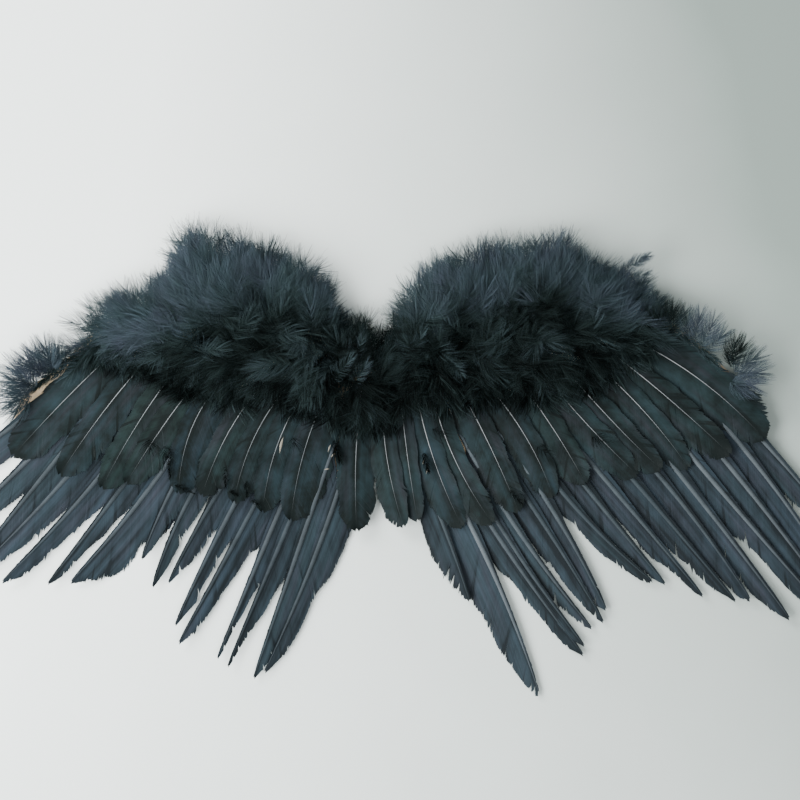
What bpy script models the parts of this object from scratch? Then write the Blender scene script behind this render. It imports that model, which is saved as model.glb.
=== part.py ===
"""Black feather costume wings, lying flat on their straps.

Metres, +Z up. +X runs along the span, +Y towards the top of the wings, and the feathers face up.
The origin is on the surface that the wings lie on, in the middle between them.
"""

import math
from collections import namedtuple

import bmesh
import bpy
from mathutils import Vector

# What every layer shares
CLEAR = 0.0003          # between pieces that touch
RIGHT = 1
LEFT = -1

# Arm line, along which the flight feathers are glued, alike on both wings
ARM_REACH = 0.282       # from the middle to the outermost quill
ARM_LOW = 0.034         # height of the line in the middle
ARM_ELBOW = 0.100       # where it starts to climb
ARM_CLIMB = 0.47
ELBOW_ROUND = 0.024
WRIST_FALL = 1.35       # how much steeper it falls past the outermost quill
WRIST_ROUND = 0.015

# Covert line, along which the coverts are glued, above the arm line
COVERT_SET_INNER = 0.062
COVERT_SET_FALL = 0.030

# Backing card
CARD_THICK = 0.0025
CARD_REACH = 0.372
CARD_BELOW = 0.055      # below the arm line
CARD_COVER = 0.70       # share of the trim's width that it reaches up under the trim
CARD_END_POWER = 6      # how square its ends are
CARD_TIP = 0.9995       # share of its reach at which its ends are cut off
CARD_PIECES = 30        # pieces of its outline

# Shoulder straps, elastic, each a loop that lies flat under the card
STRAP_THICK = 0.0015
STRAP_WIDTH = 0.020
STRAP_X = 0.040         # where its ends are fixed
STRAP_Y = 0.035         # middle of its loop
STRAP_RISE = 0.042      # half the height of the loop
STRAP_BULGE = 0.075     # how far the loop stands out to the side
STRAP_PIECES = 18

# Flight feathers
FLIGHT_LENGTH = 0.300
FLIGHT_INNER = 0.024    # width of the wide vane, on the side towards the middle
FLIGHT_OUTER = 0.009    # width of the narrow vane
FLIGHT_QUILL = 0.0015   # quill radius at the root
FLIGHT_DROOP = 0.004    # how far the tips sink towards the floor

# Coverts
COVERT_LENGTH = 0.170
COVERT_INNER = 0.018
COVERT_OUTER = 0.011
COVERT_QUILL = 0.0010

# Both kinds of feather
VANE_THICK = 0.0008
SEAT_END = 0.15         # share of the length over which the quill lifts off the card

# Marabou trim
TRIM_REACH = 0.400
TRIM_WIDTH = 0.200
TRIM_RISE = 0.040       # above its rim
TRIM_RIM = 0.010        # thickness of its rim
TRIM_INSET = 0.0025     # its inner end, from the middle
TRIM_MARGIN = 0.004     # from the coverts' roots to the step up onto them
TRIM_STEP = 0.002       # width of that step
LOCK_REACH = 0.028
LOCK_TIP = 0.22         # share of a lock's width that is left at its tip
LOCK_SPLAY = 0.80       # how far a lock at the rim leans out, as a share of its reach
LOCK_LIFT = 0.35        # how far one in the middle stands up
LOCK_SWEEP = 0.15       # how far each leans towards the wing's tip, at the middle of the wings
LOCK_SWEEP_MORE = 0.50  # and how much more at the tip
LOCKED_FACE_DOWN = -0.3 # faces that look further down than this carry no lock

# One cross-section of a feather: shares of its length, of both vanes and of its quill radius
Station = namedtuple("Station", "along inner outer quill")
FLIGHT_STATIONS = (
    Station(0.00, 0.00, 0.00, 1.00),
    Station(0.11, 0.00, 0.00, 1.00),
    Station(0.17, 0.34, 0.60, 0.95),
    Station(0.30, 0.62, 0.90, 0.85),
    Station(0.46, 0.95, 1.00, 0.70),
    Station(0.66, 1.00, 0.95, 0.55),
    Station(0.83, 0.82, 0.80, 0.45),
    Station(0.94, 0.48, 0.50, 0.35),
    Station(1.00, 0.10, 0.12, 0.30),
)
COVERT_STATIONS = (
    Station(0.00, 0.00, 0.00, 1.00),
    Station(0.10, 0.00, 0.00, 0.95),
    Station(0.17, 0.50, 0.55, 0.85),
    Station(0.34, 0.90, 0.95, 0.70),
    Station(0.60, 1.00, 1.00, 0.55),
    Station(0.82, 0.86, 0.86, 0.45),
    Station(0.94, 0.52, 0.52, 0.35),
    Station(1.00, 0.12, 0.12, 0.30),
)

# One kind of feather
Kind = namedtuple("Kind", "word length inner outer quill stations")
FLIGHT = Kind("flight", FLIGHT_LENGTH, FLIGHT_INNER, FLIGHT_OUTER, FLIGHT_QUILL, FLIGHT_STATIONS)
COVERT = Kind("covert", COVERT_LENGTH, COVERT_INNER, COVERT_OUTER, COVERT_QUILL, COVERT_STATIONS)

# One feather: its root as a share of the arm's reach, its heading in degrees out from straight
# down, its length and bow as shares, and its vanes as shares of the kind's widths
Feather = namedtuple("Feather", "root heading length bow inner outer")
FLIGHTS = {
    LEFT: (
        Feather(0.085, 21.5, 0.890, -0.005, 1.10, 0.90),
        Feather(0.142, 20.5, 0.905, 0.015, 0.85, 0.85),
        Feather(0.195, 22.5, 0.885, 0.010, 0.80, 0.85),
        Feather(0.248, 22.5, 0.860, 0.020, 0.80, 0.85),
        Feather(0.305, 28.5, 0.840, 0.000, 0.85, 0.80),
        Feather(0.362, 27.5, 0.780, 0.015, 0.75, 0.80),
        Feather(0.422, 29.5, 0.670, 0.030, 0.75, 0.85),
        Feather(0.482, 27.5, 0.690, 0.050, 0.65, 0.90),
        Feather(0.546, 29.0, 0.620, 0.060, 0.80, 0.90),
        Feather(0.610, 36.5, 0.800, -0.020, 1.70, 0.90),
        Feather(0.677, 36.0, 0.840, -0.015, 0.85, 0.90),
        Feather(0.745, 39.0, 0.905, -0.020, 0.85, 0.95),
        Feather(0.809, 42.0, 0.895, -0.020, 0.85, 0.90),
        Feather(0.872, 40.0, 0.940, -0.020, 0.90, 0.90),
        Feather(0.936, 42.5, 0.900, -0.020, 0.90, 0.90),
        Feather(0.996, 52.0, 0.720, -0.020, 1.00, 1.00),
    ),
    RIGHT: (
        Feather(0.046, 21.5, 0.640, 0.055, 0.80, 0.70),
        Feather(0.100, 24.5, 0.990, 0.030, 1.65, 0.80),
        Feather(0.150, 33.5, 0.930, -0.030, 0.60, 0.90),
        Feather(0.194, 32.5, 0.880, -0.020, 0.70, 0.80),
        Feather(0.238, 34.5, 0.830, -0.020, 0.75, 0.80),
        Feather(0.298, 33.0, 0.805, 0.020, 0.75, 0.85),
        Feather(0.358, 31.5, 0.755, 0.042, 0.80, 1.00),
        Feather(0.422, 39.5, 0.750, -0.010, 0.65, 0.90),
        Feather(0.475, 39.0, 0.765, -0.010, 0.80, 0.90),
        Feather(0.528, 40.0, 0.860, 0.005, 0.85, 0.90),
        Feather(0.592, 41.0, 0.930, 0.000, 0.85, 0.90),
        Feather(0.660, 38.5, 0.940, 0.035, 0.85, 0.90),
        Feather(0.734, 38.5, 1.045, 0.005, 0.90, 1.00),
        Feather(0.809, 40.0, 1.060, 0.005, 0.90, 0.95),
        Feather(0.879, 39.0, 1.070, 0.005, 0.90, 0.95),
        Feather(0.943, 39.5, 0.950, 0.005, 0.90, 0.95),
        Feather(1.000, 44.0, 0.780, 0.000, 0.90, 1.00),
    ),
}
COVERTS = {
    LEFT: (
        Feather(0.071, 3.0, 0.990, 0.030, 0.75, 1.15),
        Feather(0.156, 18.0, 0.960, 0.055, 0.95, 1.10),
        Feather(0.220, 22.5, 0.930, 0.080, 0.95, 1.00),
        Feather(0.284, 27.5, 0.900, 0.085, 0.95, 1.00),
        Feather(0.376, 30.5, 0.890, 0.065, 1.05, 1.00),
        Feather(0.489, 26.5, 0.900, 0.120, 1.05, 1.00),
        Feather(0.574, 35.5, 0.975, 0.025, 1.00, 1.00),
        Feather(0.660, 33.0, 1.040, 0.035, 1.05, 1.00),
        Feather(0.752, 38.0, 1.075, 0.030, 1.10, 1.05),
        Feather(0.851, 44.5, 1.105, 0.015, 1.20, 1.10),
    ),
    RIGHT: (
        Feather(-0.010, 7.0, 0.985, -0.050, 0.45, 0.90),
        Feather(0.043, 7.0, 0.945, -0.015, 0.80, 0.80),
        Feather(0.092, 17.0, 1.010, -0.045, 0.95, 1.00),
        Feather(0.142, 22.5, 1.015, -0.060, 0.95, 1.00),
        Feather(0.216, 26.0, 0.955, 0.020, 1.00, 1.00),
        Feather(0.298, 32.5, 0.905, 0.060, 1.00, 1.00),
        Feather(0.420, 33.5, 0.855, 0.025, 1.05, 1.00),
        Feather(0.505, 42.0, 0.950, -0.020, 1.00, 1.00),
        Feather(0.575, 42.5, 0.970, -0.015, 1.00, 1.00),
        Feather(0.645, 43.5, 1.025, 0.040, 1.00, 1.00),
        Feather(0.715, 49.5, 1.090, 0.020, 1.05, 1.00),
        Feather(0.785, 55.5, 1.185, 0.065, 1.15, 1.00),
    ),
}

# One section across the trim, without its locks: how far out as a share of the trim's reach, its
# lower and upper edge above the arm line as shares of its width, and its share of the full rise
Section = namedtuple("Section", "out low high rise")
TRIM = {
    LEFT: (
        Section(0.000, 0.11, 0.38, 0.55),
        Section(0.075, 0.12, 0.52, 0.75),
        Section(0.150, 0.13, 0.68, 0.90),
        Section(0.250, 0.19, 0.78, 1.00),
        Section(0.350, 0.11, 0.75, 1.00),
        Section(0.450, 0.03, 0.73, 1.00),
        Section(0.540, -0.01, 0.55, 0.90),
        Section(0.625, -0.01, 0.25, 0.70),
        Section(0.700, 0.01, 0.21, 0.60),
        Section(0.765, 0.00, 0.15, 0.40),
        Section(0.830, 0.01, 0.11, 0.25),
        Section(0.880, 0.04, 0.21, 0.45),
        Section(0.945, 0.12, 0.30, 0.45),
        Section(1.000, 0.24, 0.34, 0.20),
    ),
    RIGHT: (
        Section(0.000, 0.12, 0.42, 0.55),
        Section(0.060, 0.14, 0.58, 0.75),
        Section(0.150, 0.15, 0.77, 0.90),
        Section(0.250, 0.17, 0.82, 1.00),
        Section(0.350, 0.10, 0.74, 1.00),
        Section(0.437, 0.04, 0.70, 1.00),
        Section(0.512, 0.00, 0.525, 0.90),
        Section(0.587, 0.05, 0.44, 0.80),
        Section(0.655, 0.035, 0.295, 0.60),
        Section(0.725, 0.035, 0.185, 0.45),
        Section(0.795, 0.06, 0.21, 0.45),
        Section(0.850, 0.09, 0.20, 0.35),
        Section(0.912, 0.17, 0.29, 0.40),
        Section(0.960, 0.245, 0.315, 0.20),
    ),
}
SIDE_WORDS = {LEFT: "left", RIGHT: "right"}


def hinge(x, start, slope, rounding):
    """A line that is level before start and climbs by slope past it, with a rounded bend."""
    past = x - start
    return 0.5 * slope * (past + math.hypot(past, rounding))


def arm_height(x):
    """Height of the arm line at a distance from the middle, on either wing."""
    climb = hinge(abs(x), ARM_ELBOW, ARM_CLIMB, ELBOW_ROUND)
    fall = hinge(abs(x), ARM_REACH, WRIST_FALL, WRIST_ROUND)
    return ARM_LOW + climb - fall


def covert_height(x):
    """Height of the line along which the coverts' quills are glued."""
    return arm_height(x) + COVERT_SET_INNER - COVERT_SET_FALL * abs(x) / ARM_REACH


def trim_edges(side, x):
    """Lower and upper edge of one wing's trim at a distance from the middle."""
    out = abs(x) / TRIM_REACH
    rows = TRIM[side]
    for near, far in zip(rows, rows[1:]):
        if out <= far.out:
            break
    part = min(1.0, (out - near.out) / (far.out - near.out))
    low = near.low + (far.low - near.low) * part
    high = near.high + (far.high - near.high) * part
    return arm_height(x) + low * TRIM_WIDTH, arm_height(x) + high * TRIM_WIDTH


def card_edges(x):
    """Lower and upper edge of the card, which closes in an arc at both ends."""
    side = LEFT if x < 0 else RIGHT
    low, high = trim_edges(side, x)
    top = low + (high - low) * CARD_COVER
    end = math.sqrt(max(0.0, 1 - (abs(x) / CARD_REACH) ** CARD_END_POWER))
    middle = arm_height(x)
    return middle - CARD_BELOW * end, middle + (top - middle) * end


def root_place(kind, side, feather):
    """Where a feather's quill ends on the card."""
    x = feather.root * ARM_REACH
    line = arm_height if kind is FLIGHT else covert_height
    return Vector((side * x, line(x)))


def shaft_frame(kind, side, feather, share):
    """A point on a feather's shaft and the direction from there to the wing's outer side."""
    heading = math.radians(feather.heading)
    run = Vector((side * math.sin(heading), -math.cos(heading)))
    outward = Vector((side * math.cos(heading), math.sin(heading)))
    length = feather.length * kind.length
    bend = 4 * feather.bow * length
    point = root_place(kind, side, feather) + run * length * share
    point += outward * bend * share * (1 - share)
    across = (outward - run * 4 * feather.bow * (1 - 2 * share)).normalized()
    return point, across


def closest_shafts(kind, rows_by_side):
    """The smallest distance between the shafts of two neighbours, where both have vanes."""
    nearest = kind.length
    shares = [station.along for station in kind.stations if station.inner > 0]
    for side, rows in rows_by_side.items():
        for one, other in zip(rows, rows[1:]):
            for share in shares:
                point = shaft_frame(kind, side, one, share)[0]
                gaps = [(point - shaft_frame(kind, side, other, far)[0]).length for far in shares]
                nearest = min(nearest, min(gaps))
    return nearest


# Each vane lies on the next one, so a feather leans by its thickness over the closest spacing
FLIGHT_LEAN = (VANE_THICK + CLEAR) / closest_shafts(FLIGHT, FLIGHTS)
COVERT_LEAN = (VANE_THICK + CLEAR) / closest_shafts(COVERT, COVERTS)

# Heights of the layers, each worked out from the one below it
CARD_BASE = STRAP_THICK + CLEAR
CARD_TOP = CARD_BASE + CARD_THICK
WIDEST_FLIGHT = FLIGHT_INNER * max(row.inner for rows in FLIGHTS.values() for row in rows)
WIDEST_COVERT = COVERT_INNER * max(row.inner for rows in COVERTS.values() for row in rows)
CARD_ZONE_VANE = FLIGHT_STATIONS[3].inner  # share of its vane that a feather has over the card
FLIGHT_LEVEL = CARD_TOP + CLEAR + VANE_THICK / 2 + FLIGHT_LEAN * WIDEST_FLIGHT * CARD_ZONE_VANE
FLIGHT_CREST = max(FLIGHT_LEAN * FLIGHT_OUTER + VANE_THICK / 2, FLIGHT_QUILL)
COVERT_LEVEL = FLIGHT_LEVEL + FLIGHT_CREST + CLEAR + VANE_THICK / 2 + COVERT_LEAN * WIDEST_COVERT
WIDEST_OUTER = COVERT_OUTER * max(row.outer for rows in COVERTS.values() for row in rows)
COVERT_CREST = max(COVERT_LEAN * WIDEST_OUTER + VANE_THICK / 2, COVERT_QUILL)
TRIM_LEVEL = COVERT_LEVEL + COVERT_CREST + CLEAR


def droop(x, y):
    """How far the feathers have sunk at a place, as the tips bend down to the floor."""
    below = max(0.0, arm_height(x) - y)
    return FLIGHT_DROOP * (below / FLIGHT_LENGTH) ** 2


def material(name, colour, roughness):
    """A plain Principled material."""
    made = bpy.data.materials.new(name)
    made.use_nodes = True
    shader = made.node_tree.nodes["Principled BSDF"]
    shader.inputs["Base Color"].default_value = (*colour, 1.0)
    shader.inputs["Roughness"].default_value = roughness
    return made


def add_object(name, bm, surface):
    """Close off a mesh, turn its faces outward and add it to the scene."""
    bmesh.ops.recalc_face_normals(bm, faces=bm.faces)
    mesh = bpy.data.meshes.new(name)
    bm.to_mesh(mesh)
    bm.free()
    mesh.materials.append(surface)
    made = bpy.data.objects.new(name, mesh)
    bpy.context.collection.objects.link(made)
    return made


def slab(columns, rows, place):
    """A closed slab over a grid. place gives each grid point's lower and upper position."""
    bm = bmesh.new()
    bmesh.ops.create_grid(bm, x_segments=columns, y_segments=rows, size=0.5)
    lower = list(bm.verts)
    grid = [(round((v.co.x + 0.5) * columns), round((v.co.y + 0.5) * rows)) for v in lower]
    raised = bmesh.ops.extrude_face_region(bm, geom=list(bm.faces))
    upper = [item for item in raised["geom"] if isinstance(item, bmesh.types.BMVert)]
    cells = {(round(v.co.x, 4), round(v.co.y, 4)): v for v in upper}
    for vert, (column, row) in zip(lower, grid):
        above = cells[(round(vert.co.x, 4), round(vert.co.y, 4))]
        vert.co, above.co = place(column, row)
    return bm


def build_card(surface):
    """The card under both wings, one piece."""
    def place(column, row):
        turn = math.pi * column / CARD_PIECES
        x = -CARD_REACH * CARD_TIP * math.cos(turn)
        y = card_edges(x)[row]
        return Vector((x, y, CARD_BASE)), Vector((x, y, CARD_TOP))
    add_object("backing_card", slab(CARD_PIECES, 1, place), surface)


def build_strap(side, surface):
    """One elastic loop that lies flat between the card and the floor."""
    def place(column, row):
        turn = math.pi * (column / STRAP_PIECES - 0.5)
        width = STRAP_WIDTH * (row - 0.5)
        x = STRAP_X + (STRAP_BULGE + width) * math.cos(turn)
        y = STRAP_Y + (STRAP_RISE + width) * math.sin(turn)
        return Vector((side * x, y, 0.0)), Vector((side * x, y, STRAP_THICK))
    add_object(f"shoulder_strap_{SIDE_WORDS[side]}", slab(STRAP_PIECES, 1, place), surface)


def build_feather(kind, side, number, feather, surface):
    """One feather: a bare quill that is glued down, then a leaning vane on each side of it."""
    lean = FLIGHT_LEAN if kind is FLIGHT else COVERT_LEAN
    level = FLIGHT_LEVEL if kind is FLIGHT else COVERT_LEVEL
    widths = (-kind.inner * feather.inner, 0.0, kind.outer * feather.outer)
    seat = CARD_TOP + CLEAR + kind.quill

    def place(column, row):
        station = kind.stations[column]
        point, across = shaft_frame(kind, side, feather, station.along)
        share = (station.inner, 0.0, station.outer)[row]
        reach = widths[row] * share
        quill = kind.quill * station.quill
        if row != 1:
            reach = math.copysign(max(abs(reach), quill), row - 1)
        flat = point + across * reach
        lift = min(1.0, station.along / SEAT_END)
        lift = lift * lift * (3 - 2 * lift)
        height = seat + (level - seat) * lift + lean * reach * lift - droop(flat.x, flat.y)
        bare = station.inner == 0
        top = quill if row == 1 else VANE_THICK / 2
        bottom = quill if row == 1 and bare else VANE_THICK / 2
        return Vector((*flat, height - bottom)), Vector((*flat, height + max(top, VANE_THICK / 2)))

    name = f"{kind.word}_{SIDE_WORDS[side]}_{number:02d}"
    add_object(name, slab(len(kind.stations) - 1, 2, place), surface)


def build_trim(side, surface):
    """The marabou trim of one wing: a domed pad with a tapered lock drawn out of each face."""
    rows = TRIM[side]
    columns = 6

    def place(column, row):
        section = rows[column]
        x = max(TRIM_INSET, section.out * TRIM_REACH)
        low, high = trim_edges(side, x)
        step = min(max(covert_height(x) + TRIM_MARGIN, low + TRIM_STEP), high - 4 * TRIM_STEP)
        beyond = step + TRIM_STEP
        across = (low, (low + step) / 2, step, beyond,
                  beyond + (high - beyond) / 3, beyond + (high - beyond) * 2 / 3, high)
        y = across[row]
        base = TRIM_LEVEL if row <= 2 else CARD_TOP + CLEAR
        arch = math.sqrt(max(0.0, 1 - (2 * (y - low) / (high - low) - 1) ** 2))
        top = TRIM_LEVEL + TRIM_RIM + TRIM_RISE * section.rise * arch
        return Vector((side * x, y, base)), Vector((side * x, y, top))

    bm = slab(len(rows) - 1, columns, place)
    bm.normal_update()
    bmesh.ops.recalc_face_normals(bm, faces=bm.faces)
    inner_end = side * TRIM_INSET
    locks = []
    for face in bm.faces:
        middle = face.calc_center_median()
        at_inner_end = all(abs(vert.co.x - inner_end) < 1e-6 for vert in face.verts)
        if face.normal.z > LOCKED_FACE_DOWN and not at_inner_end:
            low, high = trim_edges(side, middle.x)
            splay = max(-1.0, min(1.0, 2 * (middle.y - low) / (high - low) - 1))
            locks.append((face, middle, splay))
    raised = bmesh.ops.extrude_discrete_faces(bm, faces=[lock[0] for lock in locks])["faces"]
    for face, (_, middle, splay) in zip(raised, locks):
        sweep = LOCK_SWEEP + LOCK_SWEEP_MORE * abs(middle.x) / TRIM_REACH
        way = Vector((side * sweep, LOCK_SPLAY * splay, LOCK_LIFT * (1 - abs(splay))))
        for vert in face.verts:
            vert.co = middle + (vert.co - middle) * LOCK_TIP + way * LOCK_REACH
    add_object(f"marabou_{SIDE_WORDS[side]}", bm, surface)


for leftover in list(bpy.data.objects):
    bpy.data.objects.remove(leftover)

card_surface = material("kraft_card", (0.45, 0.36, 0.24), 0.85)
strap_surface = material("black_elastic", (0.02, 0.02, 0.022), 0.80)
flight_surface = material("flight_feather", (0.045, 0.060, 0.078), 0.55)
covert_surface = material("covert_feather", (0.025, 0.034, 0.040), 0.55)
trim_surface = material("marabou", (0.020, 0.027, 0.034), 0.90)

build_card(card_surface)
for wing in (LEFT, RIGHT):
    build_strap(wing, strap_surface)
    for place_in_row, row_of_table in enumerate(FLIGHTS[wing], start=1):
        build_feather(FLIGHT, wing, place_in_row, row_of_table, flight_surface)
    for place_in_row, row_of_table in enumerate(COVERTS[wing], start=1):
        build_feather(COVERT, wing, place_in_row, row_of_table, covert_surface)
    build_trim(wing, trim_surface)
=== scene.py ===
"""Black feather costume wings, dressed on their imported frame.

Metres, +Z up. The wings lie face up on a pale floor, with their span along X.
"""

import math
from collections import namedtuple

import bmesh
import bpy
import numpy as np
from mathutils import Matrix, Vector


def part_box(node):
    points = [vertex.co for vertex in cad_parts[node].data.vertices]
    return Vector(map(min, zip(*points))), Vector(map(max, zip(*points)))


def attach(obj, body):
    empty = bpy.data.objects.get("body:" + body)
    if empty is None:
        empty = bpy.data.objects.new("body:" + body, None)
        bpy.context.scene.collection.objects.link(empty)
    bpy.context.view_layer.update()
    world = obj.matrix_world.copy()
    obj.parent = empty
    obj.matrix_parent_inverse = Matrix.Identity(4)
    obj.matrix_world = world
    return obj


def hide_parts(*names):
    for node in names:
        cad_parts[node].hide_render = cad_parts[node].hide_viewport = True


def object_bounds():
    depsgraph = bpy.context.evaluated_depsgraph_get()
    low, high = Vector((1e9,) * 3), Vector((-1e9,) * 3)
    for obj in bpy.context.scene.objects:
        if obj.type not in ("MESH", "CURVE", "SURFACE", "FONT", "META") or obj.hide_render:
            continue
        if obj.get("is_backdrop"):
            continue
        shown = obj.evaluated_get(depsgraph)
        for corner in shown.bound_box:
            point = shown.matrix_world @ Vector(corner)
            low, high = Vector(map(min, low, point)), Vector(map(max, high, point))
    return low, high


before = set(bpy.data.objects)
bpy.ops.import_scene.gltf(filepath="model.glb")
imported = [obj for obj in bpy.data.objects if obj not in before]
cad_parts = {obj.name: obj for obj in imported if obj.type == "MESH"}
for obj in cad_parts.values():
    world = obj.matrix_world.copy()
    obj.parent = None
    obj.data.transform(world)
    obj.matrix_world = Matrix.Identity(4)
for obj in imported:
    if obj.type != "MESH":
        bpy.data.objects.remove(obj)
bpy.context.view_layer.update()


# Backing card: one piece of brown kraft board, cut out by hand along both wings.
# Every quill is glued to its face, and it shows only where the trim is thin.


class Wire:
    """A node's output, so that shader maths is written as plain expressions."""

    def __init__(self, tree, socket=None):
        self.tree = tree
        self.socket = socket

    def node(self, kind, settings=None, sockets=None, output=0):
        """Add a node: its settings first, then the values or links of its sockets."""
        made = self.tree.nodes.new(kind)
        for name, value in (settings or {}).items():
            if name == "stops":
                self.set_stops(made.color_ramp, value)
            else:
                setattr(made, name, value)
        for name, value in (sockets or {}).items():
            plug(self.tree, made.inputs[name], value)
        return Wire(self.tree, made.outputs[output])

    @staticmethod
    def set_stops(ramp, stops):
        while len(ramp.elements) < len(stops):
            ramp.elements.new(1.0)
        for element, (place, shade) in zip(ramp.elements, stops):
            element.position = place
            element.color = (shade, shade, shade, 1.0)

    def maths(self, operation, first, second=0.0):
        return self.node("ShaderNodeMath", {"operation": operation}, {0: first, 1: second})

    def mix(self, share, first, second):
        """A colour between two colours."""
        return self.node("ShaderNodeMix", {"data_type": "RGBA"}, {0: share, 6: first, 7: second}, 2)

    def __add__(self, other):
        return self.maths("ADD", self, other)

    def __sub__(self, other):
        return self.maths("SUBTRACT", self, other)

    def __rsub__(self, other):
        return self.maths("SUBTRACT", other, self)

    def __mul__(self, other):
        return self.maths("MULTIPLY", self, other)

    __radd__ = __add__
    __rmul__ = __mul__

    def place(self):
        return self.node("ShaderNodeTexCoord", output="Object")

    def painted(self, name):
        """A value that was written on the mesh's points."""
        return self.node("ShaderNodeAttribute", {"attribute_name": name}, output="Fac")

    def noise(self, place, scale, detail=2.0, rough=0.5):
        return self.node("ShaderNodeTexNoise", {}, {
            "Vector": place, "Scale": scale, "Detail": detail, "Roughness": rough})

    def ramp(self, value, *stops):
        return self.node("ShaderNodeValToRGB", {"stops": stops}, {"Fac": value})

    def stretched(self, place, *scales):
        return self.node("ShaderNodeMapping", {}, {"Vector": place, "Scale": scales})

    def bump(self, height, strength, distance):
        return self.node("ShaderNodeBump", {}, {
            "Height": height, "Strength": strength, "Distance": distance})


def plug(tree, socket, value):
    if isinstance(value, Wire):
        tree.links.new(value.socket, socket)
    else:
        socket.default_value = value


def surface(name, paint):
    """A new material. paint gives the values and links of its Principled shader's sockets."""
    made = bpy.data.materials.new(name)
    made.use_nodes = True
    tree = made.node_tree
    for socket, value in paint(Wire(tree)).items():
        plug(tree, tree.nodes["Principled BSDF"].inputs[socket], value)
    return made


def rgb(red, green, blue):
    return (red, green, blue, 1.0)


def kraft_board(wire):
    """Unbleached board: short fibres that lie mostly one way, with paler and darker clouds."""
    place = wire.place()
    fibres = wire.noise(wire.stretched(place, 260.0, 1500.0, 600.0), 1.0, 4.0, 0.65)
    clouds = wire.noise(place, 28.0, 3.0)
    flecks = wire.ramp(wire.noise(place, 900.0, 1.0), (0.30, 1.0), (0.42, 0.0))
    brown = wire.mix(fibres, rgb(0.36, 0.26, 0.15), rgb(0.62, 0.50, 0.34))
    brown = wire.mix(clouds * 0.5, brown, rgb(0.52, 0.40, 0.25))
    return {
        "Base Color": wire.mix(flecks * 0.5, brown, rgb(0.20, 0.13, 0.07)),
        "Roughness": 0.78 + fibres * 0.15,
        "Normal": wire.bump(fibres + clouds * 0.3, 0.45, 0.0003),
    }


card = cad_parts["backing_card"]
card.data.materials.clear()
card.data.materials.append(surface("kraft_board", kraft_board))


# Shoulder straps: black knitted elastic, one loop a shoulder, stapled to the back of the card.
# They lie flat under it, as the wings lie on their back.


def knitted_elastic(wire):
    """Fine rubber cords run the length of the strap, with the knit's small ribs across them."""
    place = wire.place()
    ribs = wire.node("ShaderNodeTexWave", {"bands_direction": "DIAGONAL"}, {
        "Vector": place, "Scale": 320.0, "Distortion": 1.5, "Detail": 2.0, "Detail Scale": 3.0}, 1)
    fuzz = wire.noise(place, 1400.0, 2.0)
    return {
        "Base Color": wire.mix(ribs, rgb(0.006, 0.006, 0.008), rgb(0.030, 0.031, 0.036)),
        "Roughness": 0.62 + fuzz * 0.3,
        "Normal": wire.bump(ribs + fuzz * 0.4, 0.6, 0.0004),
    }


elastic = surface("knitted_elastic", knitted_elastic)
for side_word in ("left", "right"):
    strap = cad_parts[f"shoulder_strap_{side_word}"]
    strap.data.materials.clear()
    strap.data.materials.append(elastic)


# Flight feathers: dyed goose quills, 16 on the left wing and 17 on the right. Each bare quill is
# glued to the card on the arm line, and each narrow outer vane lies over the next feather's wide
# inner vane. Barbs split apart where a feather has been handled.

RIGHT = 1
LEFT = -1
SIDE_WORDS = {LEFT: "left", RIGHT: "right"}

ARM_REACH = 0.282       # from the middle to the outermost quill
ARM_LOW = 0.034         # height of the arm line in the middle
ARM_ELBOW = 0.100       # where it starts to climb
ARM_CLIMB = 0.47
ELBOW_ROUND = 0.024
WRIST_FALL = 1.35       # how much steeper it falls past the outermost quill
WRIST_ROUND = 0.015
COVERT_SET_INNER = 0.062    # how far above the arm line the coverts are glued, in the middle
COVERT_SET_FALL = 0.030     # and how much less at the outermost quill

CARD_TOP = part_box("backing_card")[1][2]
CLEAR = 0.0003          # between a quill and the card
SEAT_END = 0.15         # share of the length over which a quill lifts off the card
DROOP = 0.004           # how far the tips sink towards the floor
DROOP_OVER = 0.300
CURL_FROM = 0.6         # share of the length past which a tip curls
VANE_THICK = 0.00032
WIDEST_VANE = 0.045

# Vane widths along a feather, as shares of its kind's widths
Station = namedtuple("Station", "along inner outer")
FLIGHT_STATIONS = (
    Station(0.11, 0.00, 0.00),
    Station(0.17, 0.50, 0.65),
    Station(0.30, 0.88, 0.90),
    Station(0.46, 1.02, 0.72),
    Station(0.60, 1.05, 0.42),
    Station(0.75, 0.98, 0.32),
    Station(0.86, 0.82, 0.28),
    Station(0.94, 0.54, 0.22),
    Station(1.00, 0.06, 0.08),
)

# A kind of feather: its full length, its two vanes and its quill's half height, half widths of
# the quill from root to tip, how much dye its tip took and how far its horn shows on each wing,
# how the feather leans, how high it lies and how its vanes cup down, how far a barb slants
# towards the tip for its reach, its barbs along a vane, how uneven and how torn its edges are
# and how high they wave, how much painted shade darkens its tip, how far its hue strays on each
# wing, and the least and most that its tip curls up
Kind = namedtuple("Kind", "word length inner outer quill quill_wide quill_dye horn lean level cup "
                          "slant barbs stations uneven torn wave tip_dark hue_stray curl")
FLIGHT = Kind(
    word="flight", length=0.300, inner=0.024, outer=0.009, stations=FLIGHT_STATIONS,
    quill=0.0015, quill_wide=(0.0018, 0.0024, 0.0024, 0.0015, 0.0004), quill_dye=0.65,
    horn={LEFT: 0.40, RIGHT: 0.86}, lean=0.134, level=CARD_TOP + 0.00409, cup=0.05,
    slant=1.45, barbs=120, uneven=0.01, torn=0.09, wave=0.0006, tip_dark=0.10,
    hue_stray={LEFT: 0.4, RIGHT: 0.4}, curl=(0.0, 0.003))

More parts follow.
